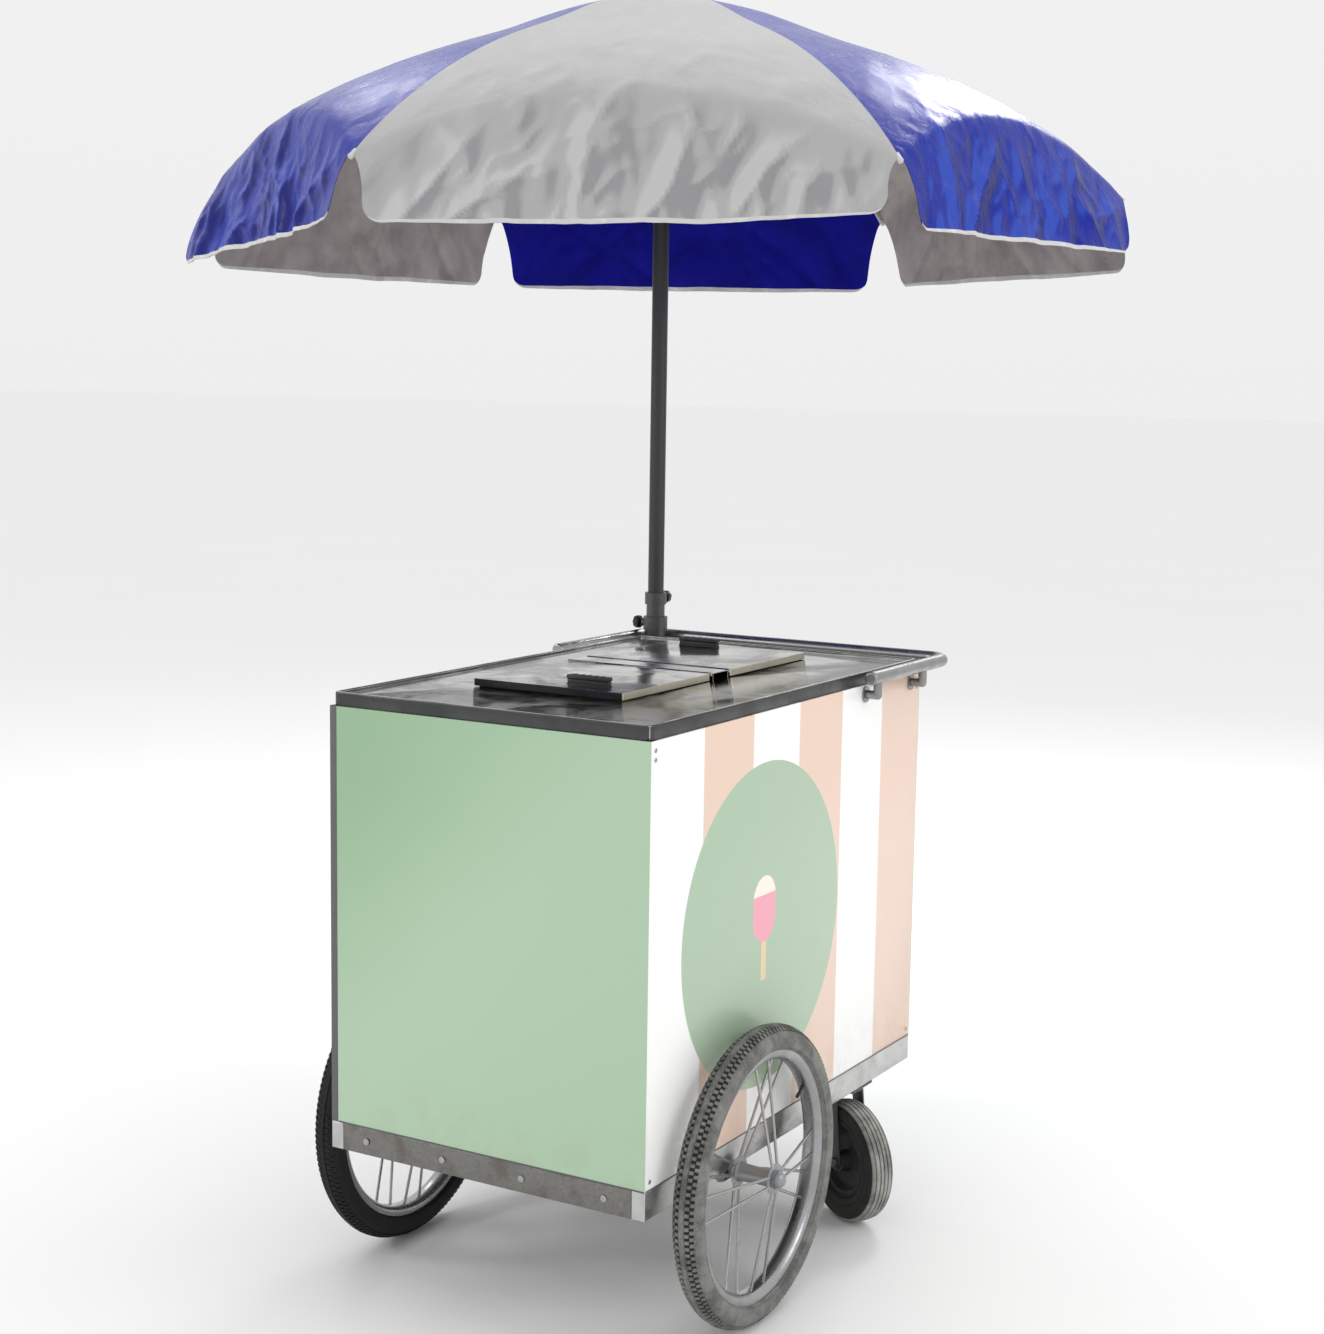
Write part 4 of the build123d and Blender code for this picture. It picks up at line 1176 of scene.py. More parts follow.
# ---- wheels --------------------------------------------------------------------------------------
@dataclass
class RoadWheel:
    """A big spoked wheel with a block-tread tyre."""

    side: str
    tube: float = 27.0 * MM
    steps: int = 280
    block: float = 2.2 * MM
    bed: float = 0.2 * MM
    rows: Tuple[float, ...] = (18.6 * MM, 12.9 * MM, 12.1 * MM, 5.0 * MM)
    tread: float = 16.0 * MM
    seat: float = 46.0 * MM
    spokes: int = 8

    def skin(self, radius: float, across_by: float) -> float:
        """How far from the axle the carcass is, under the blocks."""
        crown = self.tube - self.bed
        return radius - self.tube + math.sqrt(max(0.0, crown**2 - across_by**2)) - self.block

    def tyre_outline(self, radius: float) -> List[Point]:
        """The tyre's closed section as (across, radius) points.

        Args:
            radius: the tyre's outer radius.

        Returns:
            The section's points, in metres.
        """
        seat = radius - self.seat
        half = [(13.8 * MM, seat), (16.2 * MM, seat + 1.2 * MM), (17.2 * MM, seat + 4.0 * MM),
                (19.6 * MM, seat + 6.5 * MM)]
        middle_r = radius - self.tube
        for degrees in (-24, -8, 8, 20, 24, 34):
            angle = math.radians(degrees)
            wall = self.tube - (0.0 if degrees == 20 else 0.5 * MM)
            half.append((wall * math.cos(angle), middle_r + wall * math.sin(angle)))
        half += [(a, self.skin(radius, a)) for a in self.rows]
        crown = self.skin(radius, 0) + self.block
        half += [(self.rows[-1] - 0.8 * MM, crown), (0.0, crown)]
        ring = half + [(-a, r) for a, r in half[-2::-1]]
        return ring + ring[:1]

    def build(self) -> None:
        """Build the tyre, the rim, the hub, the spokes and the nipples."""
        node = self.side + "_wheel_tyre"
        body = self.side + "_wheel"
        low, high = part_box(node)
        centre = (low + high) / 2
        radius = (high.z - low.z) / 2
        place = Matrix.Translation(centre)
        self.tyre(node, body, centre, radius)
        rim = Work.turned(self.rim_outline(radius), place, 144)
        rim.smooth(30).fit(self.side + "_rim_hoop", body, "chrome_plate", RIM_STEEL, self.side + "_wheel_rim")
        hub = Work.turned(self.hub_outline(), place, 64)
        hub.smooth(32).fit(self.side + "_hub_shell", body, "chrome_plate", ALLOY, self.side + "_wheel_hub")
        dress(ZINC, self.side + "_wheel_spokes")
        self.nipples(centre, radius, body)
        self.valve(centre, radius, body)

    def tyre(self, node: str, body: str, centre: Vector, radius: float) -> None:
        """Build the tyre and raise its tread.

        Args:
            node: the CAD tyre.
            body: the body that it rides on.
            centre: the wheel's centre.
            radius: the tyre's outer radius.
        """
        tyre = Work.turned(self.tyre_outline(radius), Matrix.Translation(centre), self.steps)
        outer, edge, inner, low = self.rows

        def place_of(c: Vector) -> Tuple[float, float, int]:
            """A face's distance from the middle and from the axle, and its step of the spin."""
            turn = math.atan2(c.y - centre.y, c.z - centre.z) / (2 * math.pi) * self.steps
            return abs(c.x - centre.x), math.hypot(c.y - centre.y, c.z - centre.z), math.floor(turn)

        def is_block(c: Vector, n: Vector) -> bool:
            """Whether a face is in a row of blocks, on every second step."""
            a, out, step = place_of(c)
            return (out > radius - self.tread and (edge < a < outer or low < a < inner)
                    and (step + (a > edge)) % 2 == 0)

        def is_gap(c: Vector, n: Vector) -> bool:
            """Whether a face lies in the gaps between the blocks."""
            a, out, _ = place_of(c)
            return low < a < outer and radius - self.tread < out < self.skin(radius, a) + 0.8 * MM

        tyre.pick(is_block).push(self.block)
        # Painted shade: the left tyre takes a near-black copy of the rubber.
        rubber = TYRE if self.side == "right" else TYRE_SHADED
        tyre.smooth(38).fit(self.side + "_tyre_tread", body, "tyre_rubber", rubber, node)
        # Painted shade: the faces between the tread blocks take their own near-black rubber.
        tyre.accent(GROOVE_SHADE, is_gap)

    def rim_outline(self, radius: float) -> List[Point]:
        """The rim's closed section.

        Args:
            radius: the tyre's outer radius.

        Returns:
            The section's points, in metres.
        """
        seat = (radius - self.seat) / MM
        half = [(0.0, seat), (14.6, seat), (15.5, seat + 1.0), (15.7, seat + 4.0), (16.8, seat + 4.6),
                (17.8, seat + 3.6), (18.0, seat + 1.0), (17.9, seat - 3.0), (16.6, seat - 6.5),
                (13.6, seat - 10.0), (10.6, seat - 12.6), (7.0, seat - 14.0), (0.0, seat - 14.2)]
        ring = half + [(-a, r) for a, r in half[-2:0:-1]]
        return [(a * MM, r * MM) for a, r in ring + ring[:1]]

    def hub_outline(self) -> List[Point]:
        """The hub's closed section, round its bore.

        Returns:
            The section's points, in metres.
        """
        half = [(0.0, 14.5), (12.0, 14.8), (24.0, 15.5), (30.0, 16.5), (32.2, 18.0), (32.5, 24.0),
                (33.0, 26.4), (34.0, 27.0), (35.0, 26.4), (35.5, 24.0), (35.6, 18.0), (36.2, 15.5),
                (37.6, 14.4), (38.0, 13.0), (38.0, 8.1)]
        ring = half + [(-a, r) for a, r in half[-1:0:-1]]
        return [(a * MM, r * MM) for a, r in ring + ring[:1]]

    def nipples(self, centre: Vector, radius: float, body: str) -> None:
        """A nipple where each spoke meets the rim, copied round.

        Args:
            centre: the wheel's centre.
            radius: the tyre's outer radius.
            body: the body that they ride on.
        """
        works = []
        inner = radius - 60.0 * MM
        outline = [(0, 0), (0, 2.9), (9, 2.5), (11, 3.1), (14, 3.1), (14, 0)]
        first = Work.turned([(a * MM, r * MM) for a, r in outline], Matrix.Identity(4), 16)
        pitch = 360 / self.spokes
        for face in (-1, 1):
            for i in range(self.spokes):
                at_hub = math.radians(i * pitch + (pitch / 2 if face > 0 else 0))
                at_rim = at_hub + math.radians(16 if i % 2 else -16)
                start = Vector((face * 34 * MM, 22 * MM * math.cos(at_hub), 22 * MM * math.sin(at_hub)))
                end = Vector((face * 4.5 * MM, inner * math.cos(at_rim), inner * math.sin(at_rim)))
                along = (end - start).normalized()
                works.append(first.twin(across(along, centre + end - along * 12 * MM)))
        first.scrap()
        Work.joined(works).smooth(40).fit(self.side + "_nipples", body, "chrome_plate", ZINC)

    def valve(self, centre: Vector, radius: float, body: str) -> None:
        """The tyre's valve stem, with its cap.

        Args:
            centre: the wheel's centre.
            radius: the tyre's outer radius.
            body: the body that it rides on.
        """
        turn = math.radians(33.75)
        out = Vector((0, math.cos(turn), math.sin(turn)))
        start = centre + out * (radius - 60.5 * MM)
        stem = Work.turned([(0, 0), (0, 3.4 * MM), (3 * MM, 3.4 * MM), (4 * MM, 2.6 * MM), (15 * MM, 2.6 * MM),
                            (16 * MM, 3.2 * MM), (24 * MM, 3.2 * MM), (25 * MM, 2.4 * MM), (25 * MM, 0)],
                           across(-out, start), 24)
        stem.smooth(40).fit(self.side + "_valve", body, "tyre_rubber", BLACK)


@dataclass
class Caster:
    """A swivel caster with a ribbed tyre."""

    side: str

    def tyre_outline(self, radius: float, half_width: float) -> List[Point]:
        """The tyre's closed section with its grooves.

        Args:
            radius: the outer radius.
            half_width: half the tyre's width.

        Returns:
            The section's points, in metres.
        """
        r, w = radius / MM, half_width / MM
        half = [(w - 9.0, r - 46.5), (w - 4.0, r - 44.0), (w - 1.6, r - 40.0), (w - 0.6, r - 33.0),
                (w - 1.8, r - 31.5), (w - 0.2, r - 29.0), (w, r - 22.0), (w - 0.5, r - 14.0),
                (w - 3.0, r - 7.0), (w - 6.5, r - 3.2), (w - 7.4, r - 2.6), (w - 7.8, r - 5.0),
                (w - 9.8, r - 5.0), (w - 10.2, r - 1.4), (w - 16.4, r - 0.4), (w - 16.8, r - 3.4),
                (w - 18.8, r - 3.4), (w - 19.2, r - 0.1), (1.4, r), (1.0, r - 3.0), (0.0, r - 3.0)]
        ring = half + [(-a, v) for a, v in half[-2::-1]]
        return [(a * MM, v * MM) for a, v in ring + ring[:1]]

    def core_outline(self, radius: float, reach: float) -> List[Point]:
        """The moulded wheel's closed section: hub barrel, dished web and seat.

        Args:
            radius: the seat's radius.
            reach: half the barrel's length.

        Returns:
            The section's points, in metres.
        """
        r, w = radius / MM, reach / MM
        half = [(w, 6.1), (w, 16.0), (w - 1.0, 17.6), (w - 9.0, 18.6), (8.0, 22.0), (5.0, 28.0),
                (4.6, 40.0), (5.6, 46.0), (9.0, 50.5), (15.0, 54.0), (18.5, 57.0), (19.0, 62.0),
                (17.6, 64.5), (17.4, r - 1.0), (16.6, r)]
        ring = half + [(-a, v) for a, v in half[::-1]]
        return [(a * MM, v * MM) for a, v in ring + ring[:1]]

    def build(self) -> None:
        """Build the tyre and the core on their slanted axle, then the fork and the plate."""
        tyre_node = self.side + "_caster_tyre"
        low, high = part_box(tyre_node)
        radius = (high.z - low.z) / 2
        joint = next(j for j in frame["joints"] if j["name"] == self.side + "_caster_spin")
        axis = Vector(joint["axis"])
        hub_at = Vector(joint["pos_m"])
        place = across(axis, hub_at)
        body = self.side + "_caster_wheel"
        tyre = Work.turned(self.tyre_outline(radius, 26 * MM), place, 120)
        tyre.smooth(35).fit(self.side + "_caster_tread", body, "caster_rubber", CASTER_TYRE, tyre_node)
        tyre.accent(CASTER_SIDE, lambda c, n: (abs((c - hub_at).dot(axis)) > 16.5 * MM
                                               and (c - hub_at).length < radius - 6 * MM))
        core = Work.turned(self.core_outline(68 * MM, 28.5 * MM), place, 96)
        core.smooth(35).fit(self.side + "_caster_web", body, "caster_core", CASTER_CORE,
                            self.side + "_caster_core")
        fork = Work.copy_of(self.side + "_caster_fork").soften(0.9 * MM, 2, 40)
        fork.smooth(35).fit(self.side + "_caster_legs", self.side + "_caster_swivel", "caster_steel",
                            CASTER_STEEL, self.side + "_caster_fork")
        dress(CASTER_STEEL, self.side + "_caster_plate")


# ---- handle and pole -----------------------------------------------------------------------------
@dataclass
class Handle:
    """The push handle with its stand-offs."""

    def build(self) -> None:
        """Dress the tube and the stand-offs."""
        dress(HANDLE_STEEL, "push_handle", "handle_standoffs")


@dataclass
class Mast:
    """The socket, both poles and the two clamping knobs."""

    head: float = 16 * MM
    lobes: int = 7
    lobe_pitch: float = 51.43
    lobe_degrees: float = 30.0
    lobe_height: float = 1.0 * MM

    def knob(self, node: str, body: str, face: Vector) -> None:
        """A lobed clamping knob on its screw.

        Args:
            node: the CAD knob.
            body: the body that it rides on.
            face: which way the knob faces.
        """
        low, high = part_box(node)
        centre = (low + high) / 2
        reach = abs((high - low).dot(face))
        outer = centre + face * reach / 2
        outline = [(0, 0), (0, 9 * MM), (2 * MM, 11.5 * MM), (4 * MM, 12 * MM), (12 * MM, 12 * MM),
                   (14.5 * MM, 10.5 * MM), (self.head, 7 * MM), (self.head, 0)]
        head = Work.turned(outline, across(face, outer - face * self.head), 6 * self.lobes)

        def is_lobe(c: Vector, n: Vector) -> bool:
            """Whether a face lies on one of the lobes."""
            out = c - outer
            radial = out - face * out.dot(face)
            if radial.length < 11.2 * MM:
                return False
            side = face.cross(Z) if abs(face.z) < 0.5 else X
            angle = math.degrees(math.atan2(radial.dot(Z), radial.dot(side))) % self.lobe_pitch
            return angle < self.lobe_degrees

        head.pick(is_lobe).push(self.lobe_height)
        head.soften(0.35 * MM, 2, 45)
        inner = centre - face * reach / 2
        screw = Work.rod(inner, outer - face * 15 * MM, 3.95 * MM, 32)
        Work.joined([head, screw]).smooth(40).fit(node + "_grip", body, "black_plastic", BLACK, node)

    def build(self) -> None:
        """Dress the tubes and make the knobs."""
        dress(SLEEVE, "pole_socket", "lower_pole")
        dress(POLE, "upper_pole")
        self.knob("socket_knob", "socket_knob_body", -X)
        self.knob("height_knob", "height_knob_body", Y)


# ---- umbrella ------------------------------------------------------------------------------------
@dataclass
class Cover:
    """The six-gore cover, cut into twelve halves that each follow one rib."""

    pole: Point
    dome: float = 1.430
    apex: float = 2.295
    reach: float = 0.924
    hem: float = 1.840
    first_rib: float = -94.0
    columns: int = 60
    dome_rows: int = 50
    flap_rows: int = 40
    first_row: float = 0.0105
    thickness: float = 1.0 * MM
    keep: float = 0.15
    tuck: float = 0.030
    peak: float = 0.036
    flare: Tuple[Point, ...] = ((0.022, 0.016), (0.026, 0.036), (0.036, 0.03),
                                (0.03, 0.03), (0.03, 0.04), (0.070, 0.026))
    hem_lift: Tuple[Point, ...] = ((0.0, 0.022), (0.0, 0.004), (0.006, 0.0), (0.004, 0.004),
                                   (0.002, 0.006), (-0.026, 0.022))
    hem_drop: Tuple[float, ...] = (0.0, 0.0, -0.036, -0.052, -0.048, -0.014)

    def __post_init__(self) -> None:
        """Work out what follows from the sizes."""
        self.base = self.apex - self.dome
        self.apothem = self.reach * math.cos(math.radians(30))
        self.half_edge = self.reach * 0.5
        self.corner = self.base + math.sqrt(self.dome**2 - self.reach**2)

    def resample(self, points: np.ndarray, shares: np.ndarray) -> np.ndarray:
        """Points at shares of a path's length.

        Args:
            points: the path's points.
            shares: shares of its length, 0 to 1.

        Returns:
            The points there.
        """
        steps = np.linalg.norm(np.diff(points, axis=0), axis=1)
        length = np.concatenate([[0], np.cumsum(steps)])
        at = shares * length[-1]
        return np.stack([np.interp(at, length, column) for column in points.T], 1)

    def edge_paths(self, index: int, round_r: float = 0.034) -> Tuple[np.ndarray, np.ndarray, np.ndarray]:
        """The flap's sides and bottom in the flap's own plane.

        Args:
            index: which gore it is.
            round_r: the radius of the bottom corners.

        Returns:
            The left and right sides from the ribs' tips down to the middles of the rounded corners, and
            the bottom from the middle of the left corner to the middle of the right one.
        """
        sides, rounds = [], []
        hem = self.hem + self.hem_drop[index]
        for end in (-1, 1):
            lift = self.hem_lift[index][(end + 1) // 2]
            foot = hem + lift + round_r
            fall = self.corner - foot
            side = []
            for share in np.linspace(0, 1, 24):
                depth = share * fall
                tuck = 0.008 * (1 - math.exp(-depth / 0.006)) + 0.19 * depth + 0.004 * math.sin(share * math.pi)
                side.append((self.half_edge - tuck, self.corner - depth))
            centre = (side[-1][0] - round_r, foot)
            corner = [(centre[0] + round_r * math.cos(a), centre[1] - round_r * math.sin(a))
                      for a in np.linspace(0, math.pi / 2, 17)]
            sides.append(np.array(side + corner[1:9]) * (end, 1))
            rounds.append(np.array(corner[8:]) * (end, 1))
        left, right = rounds
        middle_y = np.linspace(left[-1, 0], right[-1, 0], 40)[1:-1]
        share = (middle_y - left[-1, 0]) / (right[-1, 0] - left[-1, 0])
        rise = (self.hem_lift[index][0] * (1 - share) ** 3 + self.hem_lift[index][1] * share**3
                + np.array([0.004 * noise.noise(Vector((y * 9.0, index * 3.7, 0.2))) for y in middle_y])
                * np.sin(np.pi * share))
        return sides[0], sides[1], np.vstack([left, np.column_stack([middle_y, hem + rise]), right[::-1]])

    def creases(self, u: float, v: float, seed: float) -> float:
        """How far the cloth stands out at a point, from -1 to 1: sharp creases round soft facets.

        Args:
            u: the place across the cloth.
            v: the place down it.
            seed: which gore's pattern.

        Returns:
            The height.
        """
        bend = noise.noise(Vector((u * 3.1, v * 2.3, seed))) * 0.10
        total, size, share = 0.0, 1.0, 0.0
        for step, (across_by, down_by) in enumerate(((6.5, 4.0), (12.5, 8.5), (24.0, 17.0))):
            painted_sheen = v * 4.5 * (-1) ** step
            spot = Vector(((u + bend) * across_by + painted_sheen, (v - bend) * down_by, seed + 7.3 * step))
            total += size * (1 - 2 * abs(noise.noise(spot)) ** 0.75 * 1.35)
            share += size
            size *= 0.52
        return total / share

    def gore(self, index: int) -> Tuple[np.ndarray, np.ndarray, np.ndarray, np.ndarray]:
        """One gore's grid.

        Args:
            index: which gore it is.

        Returns:
            Points, unit normals, cloth coordinates and painted fold light, each as rows by columns.
        """
        angle = math.radians(self.first_rib + 30 + 60 * index)
        out = np.array((math.cos(angle), math.sin(angle), 0))
        along = np.array((-math.sin(angle), math.cos(angle), 0))
        up = np.array((0, 0, 1.0))
        pole = np.array((*self.pole, 0))
        s = np.linspace(-1, 1, 2 * self.columns + 1)
        rows, cloth = [], []
        for share in np.linspace(self.first_row, 1, self.dome_rows):
            x = (self.apothem - self.tuck * (1 - s**2)) * share
            y = self.half_edge * share * s
            z = self.base + np.sqrt(self.dome**2 - x * x - y * y)
            z = z - 0.006 * (1 - s**2) * math.sin(math.pi * share)
            z = z + self.peak * np.exp(-((x * x + y * y) / 0.085)**2)
            rows.append(np.stack([x, y, z], 1))
            down = self.dome * math.asin(share * self.apothem / self.dome)
            cloth.append(np.stack([y, np.full_like(y, down)], 1))
        top = rows[-1][:, 1:]
        left_side, right_side, bottom = self.edge_paths(index)
        t = np.linspace(0, 1, self.flap_rows + 1)[1:]
        t = np.concatenate([t[:-1] * 0.96 / t[-2], [1.0]])
        left, right = self.resample(left_side, t), self.resample(right_side, t)
        below = self.resample(bottom, (s + 1) / 2)
        share_s = ((s + 1) / 2)[:, None]
        arc = cloth[-1][0, 1]
        for i, share in enumerate(t):
            edge_l, edge_r = left[i], right[i]
            corners = ((1 - share_s) * (1 - share) * top[0] + share_s * (1 - share) * top[-1]
                       + (1 - share_s) * share * below[0] + share_s * share * below[-1])
            flat = (1 - share) * top + share * below + (1 - share_s) * edge_l + share_s * edge_r - corners
            out_by = self.flare[index][0] * ((1 - s) / 2) ** 1.3 + self.flare[index][1] * ((1 + s) / 2) ** 1.3
            x = self.apothem - self.tuck * (1 - s**2) * (1 - share) + out_by * (1 - (1 - share) ** 1.6)
            x = x + 0.016 * share * np.array([noise.noise(Vector((v * 2.6, index * 5.1, 0.7))) for v in s])
            rows.append(np.column_stack([x, flat]))
            cloth.append(np.stack([flat[:, 0], arc + top[:, 1] - flat[:, 1]], 1))
        grid, sheet = np.array(rows), np.array(cloth)
        fold = self.dome_rows - 1
        for _ in range(5):
            soft = grid.copy()
            soft[fold - 3:fold + 4] = (grid[fold - 4:fold + 3] + 2 * grid[fold - 3:fold + 4]
                                       + grid[fold - 2:fold + 5]) / 4
            grid = soft
        grid, fold_light = self.crumple(grid, sheet, index)
        normals = self.normals(grid)
        to_world = np.stack([out, along, up])
        return grid @ to_world + pole, normals @ to_world, sheet, fold_light

    def crumple(self, grid: np.ndarray, sheet: np.ndarray, index: int) -> Tuple[np.ndarray, np.ndarray]:
        """Push the creases into a grid along its normals.

        Args:
            grid: the smooth points.
            sheet: their cloth coordinates.
            index: which gore it is.

        Returns:
            The creased points, and the painted fold light from 0 to 1: the creases' slope towards one fixed
            diagonal, lighter where it faces that way and darker where it faces away.
        """
        normals = self.normals(grid)
        height = np.zeros(grid.shape[:2])
        seed = 11.7 * index
        s = np.linspace(-1, 1, grid.shape[1])
        tight = 1 - np.abs(s) ** 6
        for row in range(grid.shape[0]):
            down = (row - self.dome_rows + 1) / self.flap_rows
            share = row / (self.dome_rows - 1)
            if down <= 0:
                amount = (0.0008 + 0.0042 * max(0.0, share - 0.40) ** 1.2) * tight
                pull = 0.0
            else:
                amount = (0.0030 + 0.0085 * min(1.0, down * 1.8)) * (0.35 + 0.65 * tight)
                pull = min(1.0, down * 1.4)
            for column in range(grid.shape[1]):
                u, v = sheet[row, column]
                height[row, column] = amount[column] * self.creases(u, v, seed)
                if pull:
                    hang = (noise.noise(Vector((u * 10.5, seed, v * 1.2)))
                            + 0.5 * noise.noise(Vector((u * 23.0, seed, v * 2.0))))
                    height[row, column] += 0.0085 * pull * hang * (0.3 + 0.7 * tight[column])
        # Painted light and shade for the creases: 0.5 plus their slope towards one fixed diagonal.
        across_by = np.gradient(height, axis=1) / (self.half_edge / self.columns)
        down_by = np.gradient(height, axis=0) / 0.006
        fold_light = np.clip(0.5 + 2.6 * (across_by * 0.75 + down_by * 0.35), 0, 1)
        return grid + normals * height[..., None], fold_light

    def normals(self, grid: np.ndarray) -> np.ndarray:
        """Unit normals of a grid, pointing outwards.

        Args:
            grid: rows by columns of points.

        Returns:
            The normals, in the same order.
        """
        down = np.gradient(grid, axis=0)
        side = np.gradient(grid, axis=1)
        found = np.cross(down, side)
        found /= np.linalg.norm(found, axis=2, keepdims=True) + 1e-12
        return found if found[0, 0, 2] > 0 else -found

    def half(self, name: str, points: np.ndarray, normals: np.ndarray, cloth: np.ndarray, fold_light: np.ndarray,
             finishes: Sequence[Finish]) -> bpy.types.Object:
        """Make one half gore as a closed thin sheet.

        Args:
            name: the piece's name.
            points: rows by columns of points on the middle surface.
            normals: their normals.
            cloth: their cloth coordinates.
            fold_light: painted light and shade on the creases, 0 to 1.
            finishes: outside, inside and hem.

        Returns:
            The mesh object.
        """
        rows, columns = points.shape[:2]
        thick = np.full((rows, 1, 1), self.thickness / 2)
        thick[-3:] *= 1.9
        outer = (points + normals * thick).reshape(-1, 3)
        inner = (points - normals * thick).reshape(-1, 3)
        count = rows * columns
        index = np.arange(count).reshape(rows, columns)
        faces, which = [], []
        last = rows - 2
        for r in range(rows - 1):
            for c in range(columns - 1):
                a, b, d, e = index[r, c], index[r + 1, c], index[r + 1, c + 1], index[r, c + 1]
                faces += [(a, b, d), (a, d, e)]
                which += [2 if r == last else 0] * 2
                faces += [(a + count, d + count, b + count), (a + count, e + count, d + count)]
                which += [2 if r == last else 1] * 2
        ring = ([index[r, 0] for r in range(rows)] + list(index[-1, 1:])
                + [index[r, -1] for r in range(rows - 2, -1, -1)] + list(index[0, -2:0:-1]))
        for i, a in enumerate(ring):
            b = ring[(i + 1) % len(ring)]
            faces.append((b, a, a + count, b + count))
            which.append(2 if rows - 1 <= i < rows + columns - 2 else 0)
        mesh = bpy.data.meshes.new(name)
        mesh.from_pydata(np.vstack([outer, inner]).tolist(), [], faces)
        for finish in finishes:
            mesh.materials.append(material(finish))
        mesh.polygons.foreach_set("material_index", which)
        flat = np.vstack([cloth.reshape(-1, 2)] * 2)
        layer = mesh.uv_layers.new(name="cloth")
        order = np.zeros(len(mesh.loops), int)
        mesh.loops.foreach_get("vertex_index", order)
        layer.data.foreach_set("uv", flat[order].ravel())
        # The painted light and shade of the creases, for the cover's material.
        fold = mesh.attributes.new("fold", "FLOAT", "POINT")
        fold.data.foreach_set("value", np.tile(fold_light.ravel(), 2))
        mesh.polygons.foreach_set("use_smooth", [True] * len(mesh.polygons))
        facing = np.vstack([normals.reshape(-1, 3), -normals.reshape(-1, 3)])
        mesh.normals_split_custom_set_from_vertices(facing.tolist())
        mesh.update()
        obj = bpy.data.objects.new(name, mesh)
        bpy.context.scene.collection.objects.link(obj)
        return obj

    def build(self) -> None:
        """Build all twelve halves and tie each to its rib."""
        for index in range(6):
            points, normals, cloth, fold_light = self.gore(index)
            colour = "white" if index % 2 == 0 else "blue"
            outside, inside = (WHITE_CLOTH, WHITE_LINING) if colour == "white" else (BLUE_CLOTH, BLUE_LINING)
            mid = self.columns
            for which, span in (("a", slice(0, mid + 1)), ("b", slice(mid, None))):
                rib = index + 1 if which == "a" else (index + 1) % 6 + 1
                name = f"cover_{colour}_{index + 1}{which}"
                obj = self.half(name, points[:, span], normals[:, span], cloth[:, span], fold_light[:, span],
                                (outside, inside, HEM_CLOTH))
                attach(obj, f"rib_{rib}_body")
                angle = math.radians(self.first_rib + 60 * (rib - 1))
                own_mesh(obj)
                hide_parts(f"cover_{colour}_gores")
                width, length, area = self.flat_size(points[:, span])
                LOG.info("%s on rib_%d_body, flat %.3f x %.3f, area %.4f", name, rib, width, length, area)

    def flat_size(self, points: np.ndarray) -> Tuple[float, float, float]:
        """A half gore's flat width, length and area, measured along its grid.

        Args:
            points: rows by columns of points.

        Returns:
            Width and length in metres, and area in square metres.
        """
        width = max(np.linalg.norm(np.diff(points, axis=1), axis=2).sum(1))
        length = max(np.linalg.norm(np.diff(points, axis=0), axis=2).sum(0))
        a, b = points[1:, 1:] - points[:-1, :-1], points[1:, :-1] - points[:-1, 1:]
        area = np.linalg.norm(np.cross(a, b), axis=2).sum() / 2
        return round(float(width), 3), round(float(length), 3), round(float(area), 4)


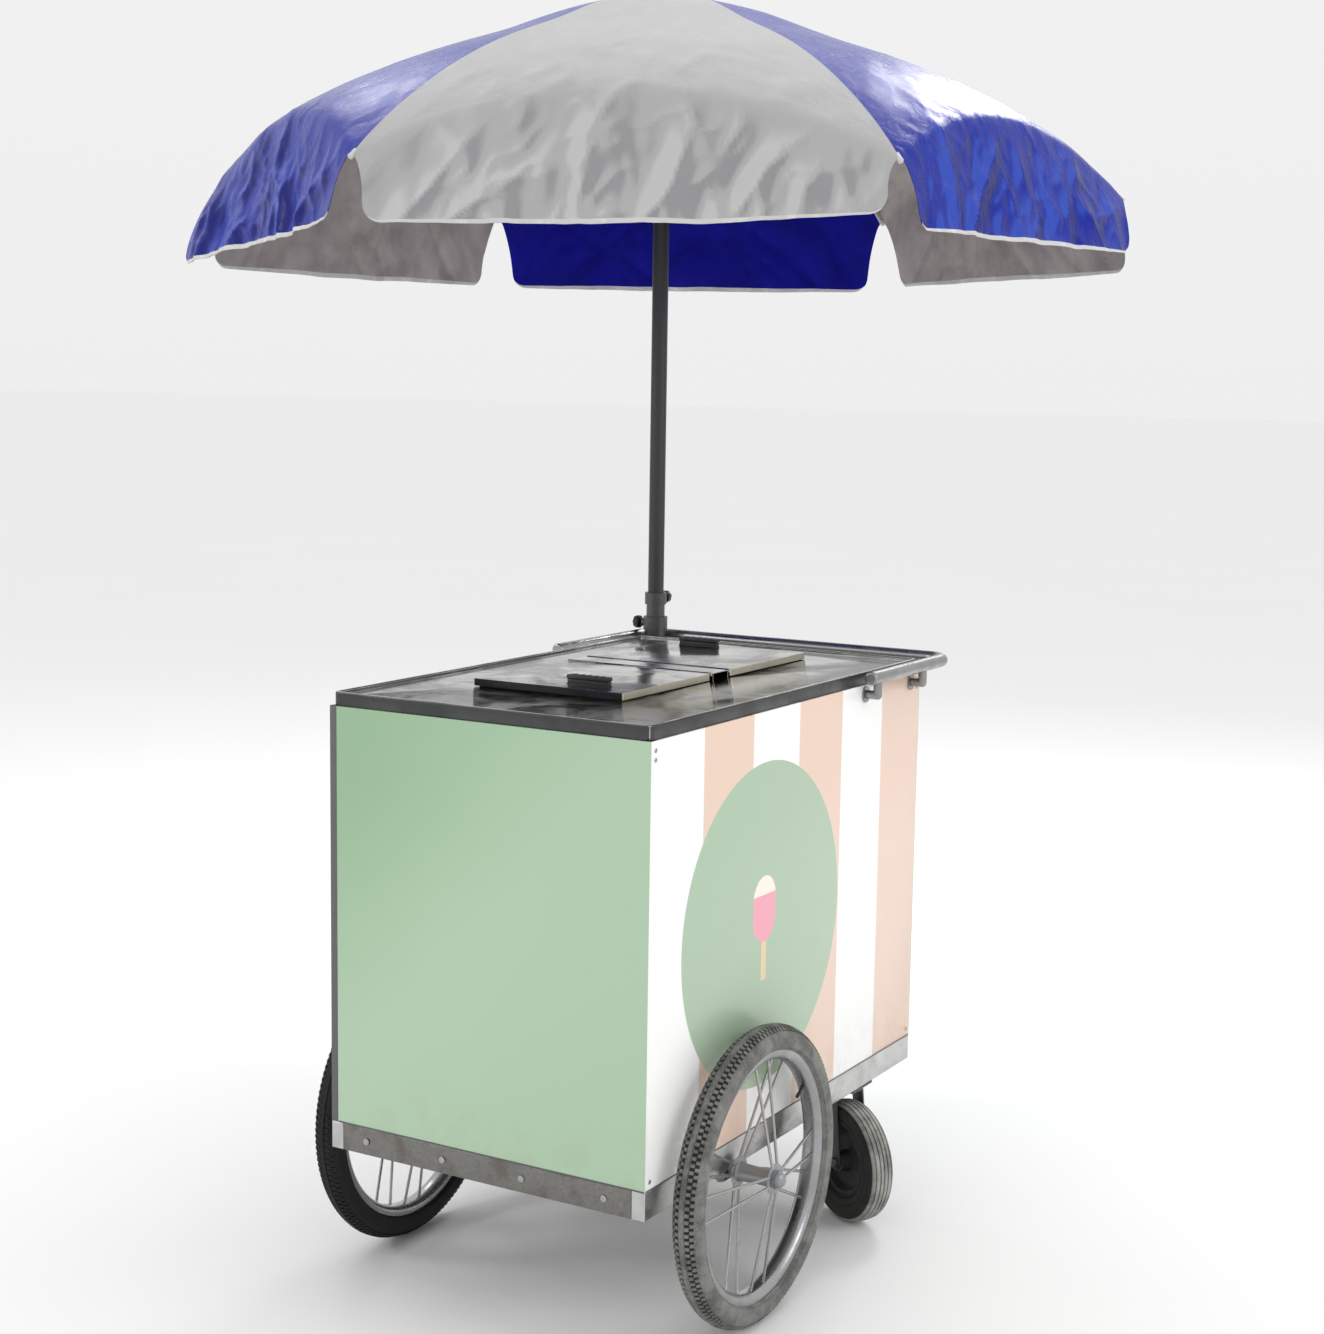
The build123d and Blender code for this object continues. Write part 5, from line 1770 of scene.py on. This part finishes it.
@dataclass
class Umbrella:
    """The umbrella's frame and cover."""

    def build(self) -> None:
        """Dress the frame, cap the ribs and make the cover."""
        dress(WHITE_PLASTIC, "crown", "runner")
        dress(RIB_PAINT, *[f"rib_{k}" for k in range(1, 7)], *[f"stretcher_{k}" for k in range(1, 7)])
        centre = middle("upper_pole")
        cover = Cover(pole=(centre.x, centre.y))
        self.tips(cover)
        self.finial(cover)
        cover.build()

    def tips(self, cover: Cover) -> None:
        """A white cap on the end of each rib.

        Args:
            cover: the cover that the ribs hold.
        """
        slope = math.atan2(cover.reach, cover.corner - cover.base)
        outline = [(0, 0), (0, 3.6 * MM), (1 * MM, 4.6 * MM), (14 * MM, 4.8 * MM), (17 * MM, 5.6 * MM),
                   (20 * MM, 5.2 * MM), (22 * MM, 3.2 * MM), (22.5 * MM, 0)]
        for k in range(6):
            angle = math.radians(cover.first_rib + 60 * k)
            out = Vector((math.cos(angle), math.sin(angle), 0))
            along = (out * math.cos(slope) - Z * math.sin(slope)).normalized()
            tip = Vector((*cover.pole, 0)) + out * cover.reach + Z * (cover.corner - 5 * MM)
            cap = Work.turned(outline, across(along, tip - along * 18 * MM), 28)
            cap.smooth(40).fit(f"rib_cap_{k + 1}", f"rib_{k + 1}_body", "umbrella_plastic", WHITE_PLASTIC)

    def finial(self, cover: Cover) -> None:
        """The turned knob on top.

        Args:
            cover: the cover that it stands on.
        """
        low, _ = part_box("finial")
        base = cover.apex + cover.peak + 1 * MM
        stem = [(low.z - base, 0), (low.z - base, 6 * MM), (0, 6 * MM)]
        head = [(0.0, 16.0), (1.5, 17.2), (4.0, 16.6), (5.5, 13.0), (7.0, 9.5), (9.0, 9.0), (11.0, 11.5),
                (14.0, 14.4), (18.0, 15.6), (22.0, 15.2), (26.5, 12.6), (30.0, 8.0), (31.8, 4.0), (32.4, 0.0)]
        outline = stem + [(a * MM, r * MM) for a, r in head]
        knob = Work.turned(outline, across(Z, Vector((*cover.pole, base))), 48)
        knob.smooth(40).fit("finial_knob", "pole_upper", "umbrella_plastic", WHITE_PLASTIC, "finial")


def main() -> None:
    """Build the cart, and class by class."""
    logging.basicConfig(level=logging.INFO, format="%(message)s")
    Studio().build()
    chassis = Chassis()
    chassis.rails()
    chassis.fastenings()
    Cabinet().build()
    Deck().build()
    for side in ("left", "right"):
        RoadWheel(side).build()
        Caster(side).build()
    dress(ALLOY, "axle")
    Handle().build()
    Mast().build()
    Umbrella().build()


if __name__ == "__main__":
    main()
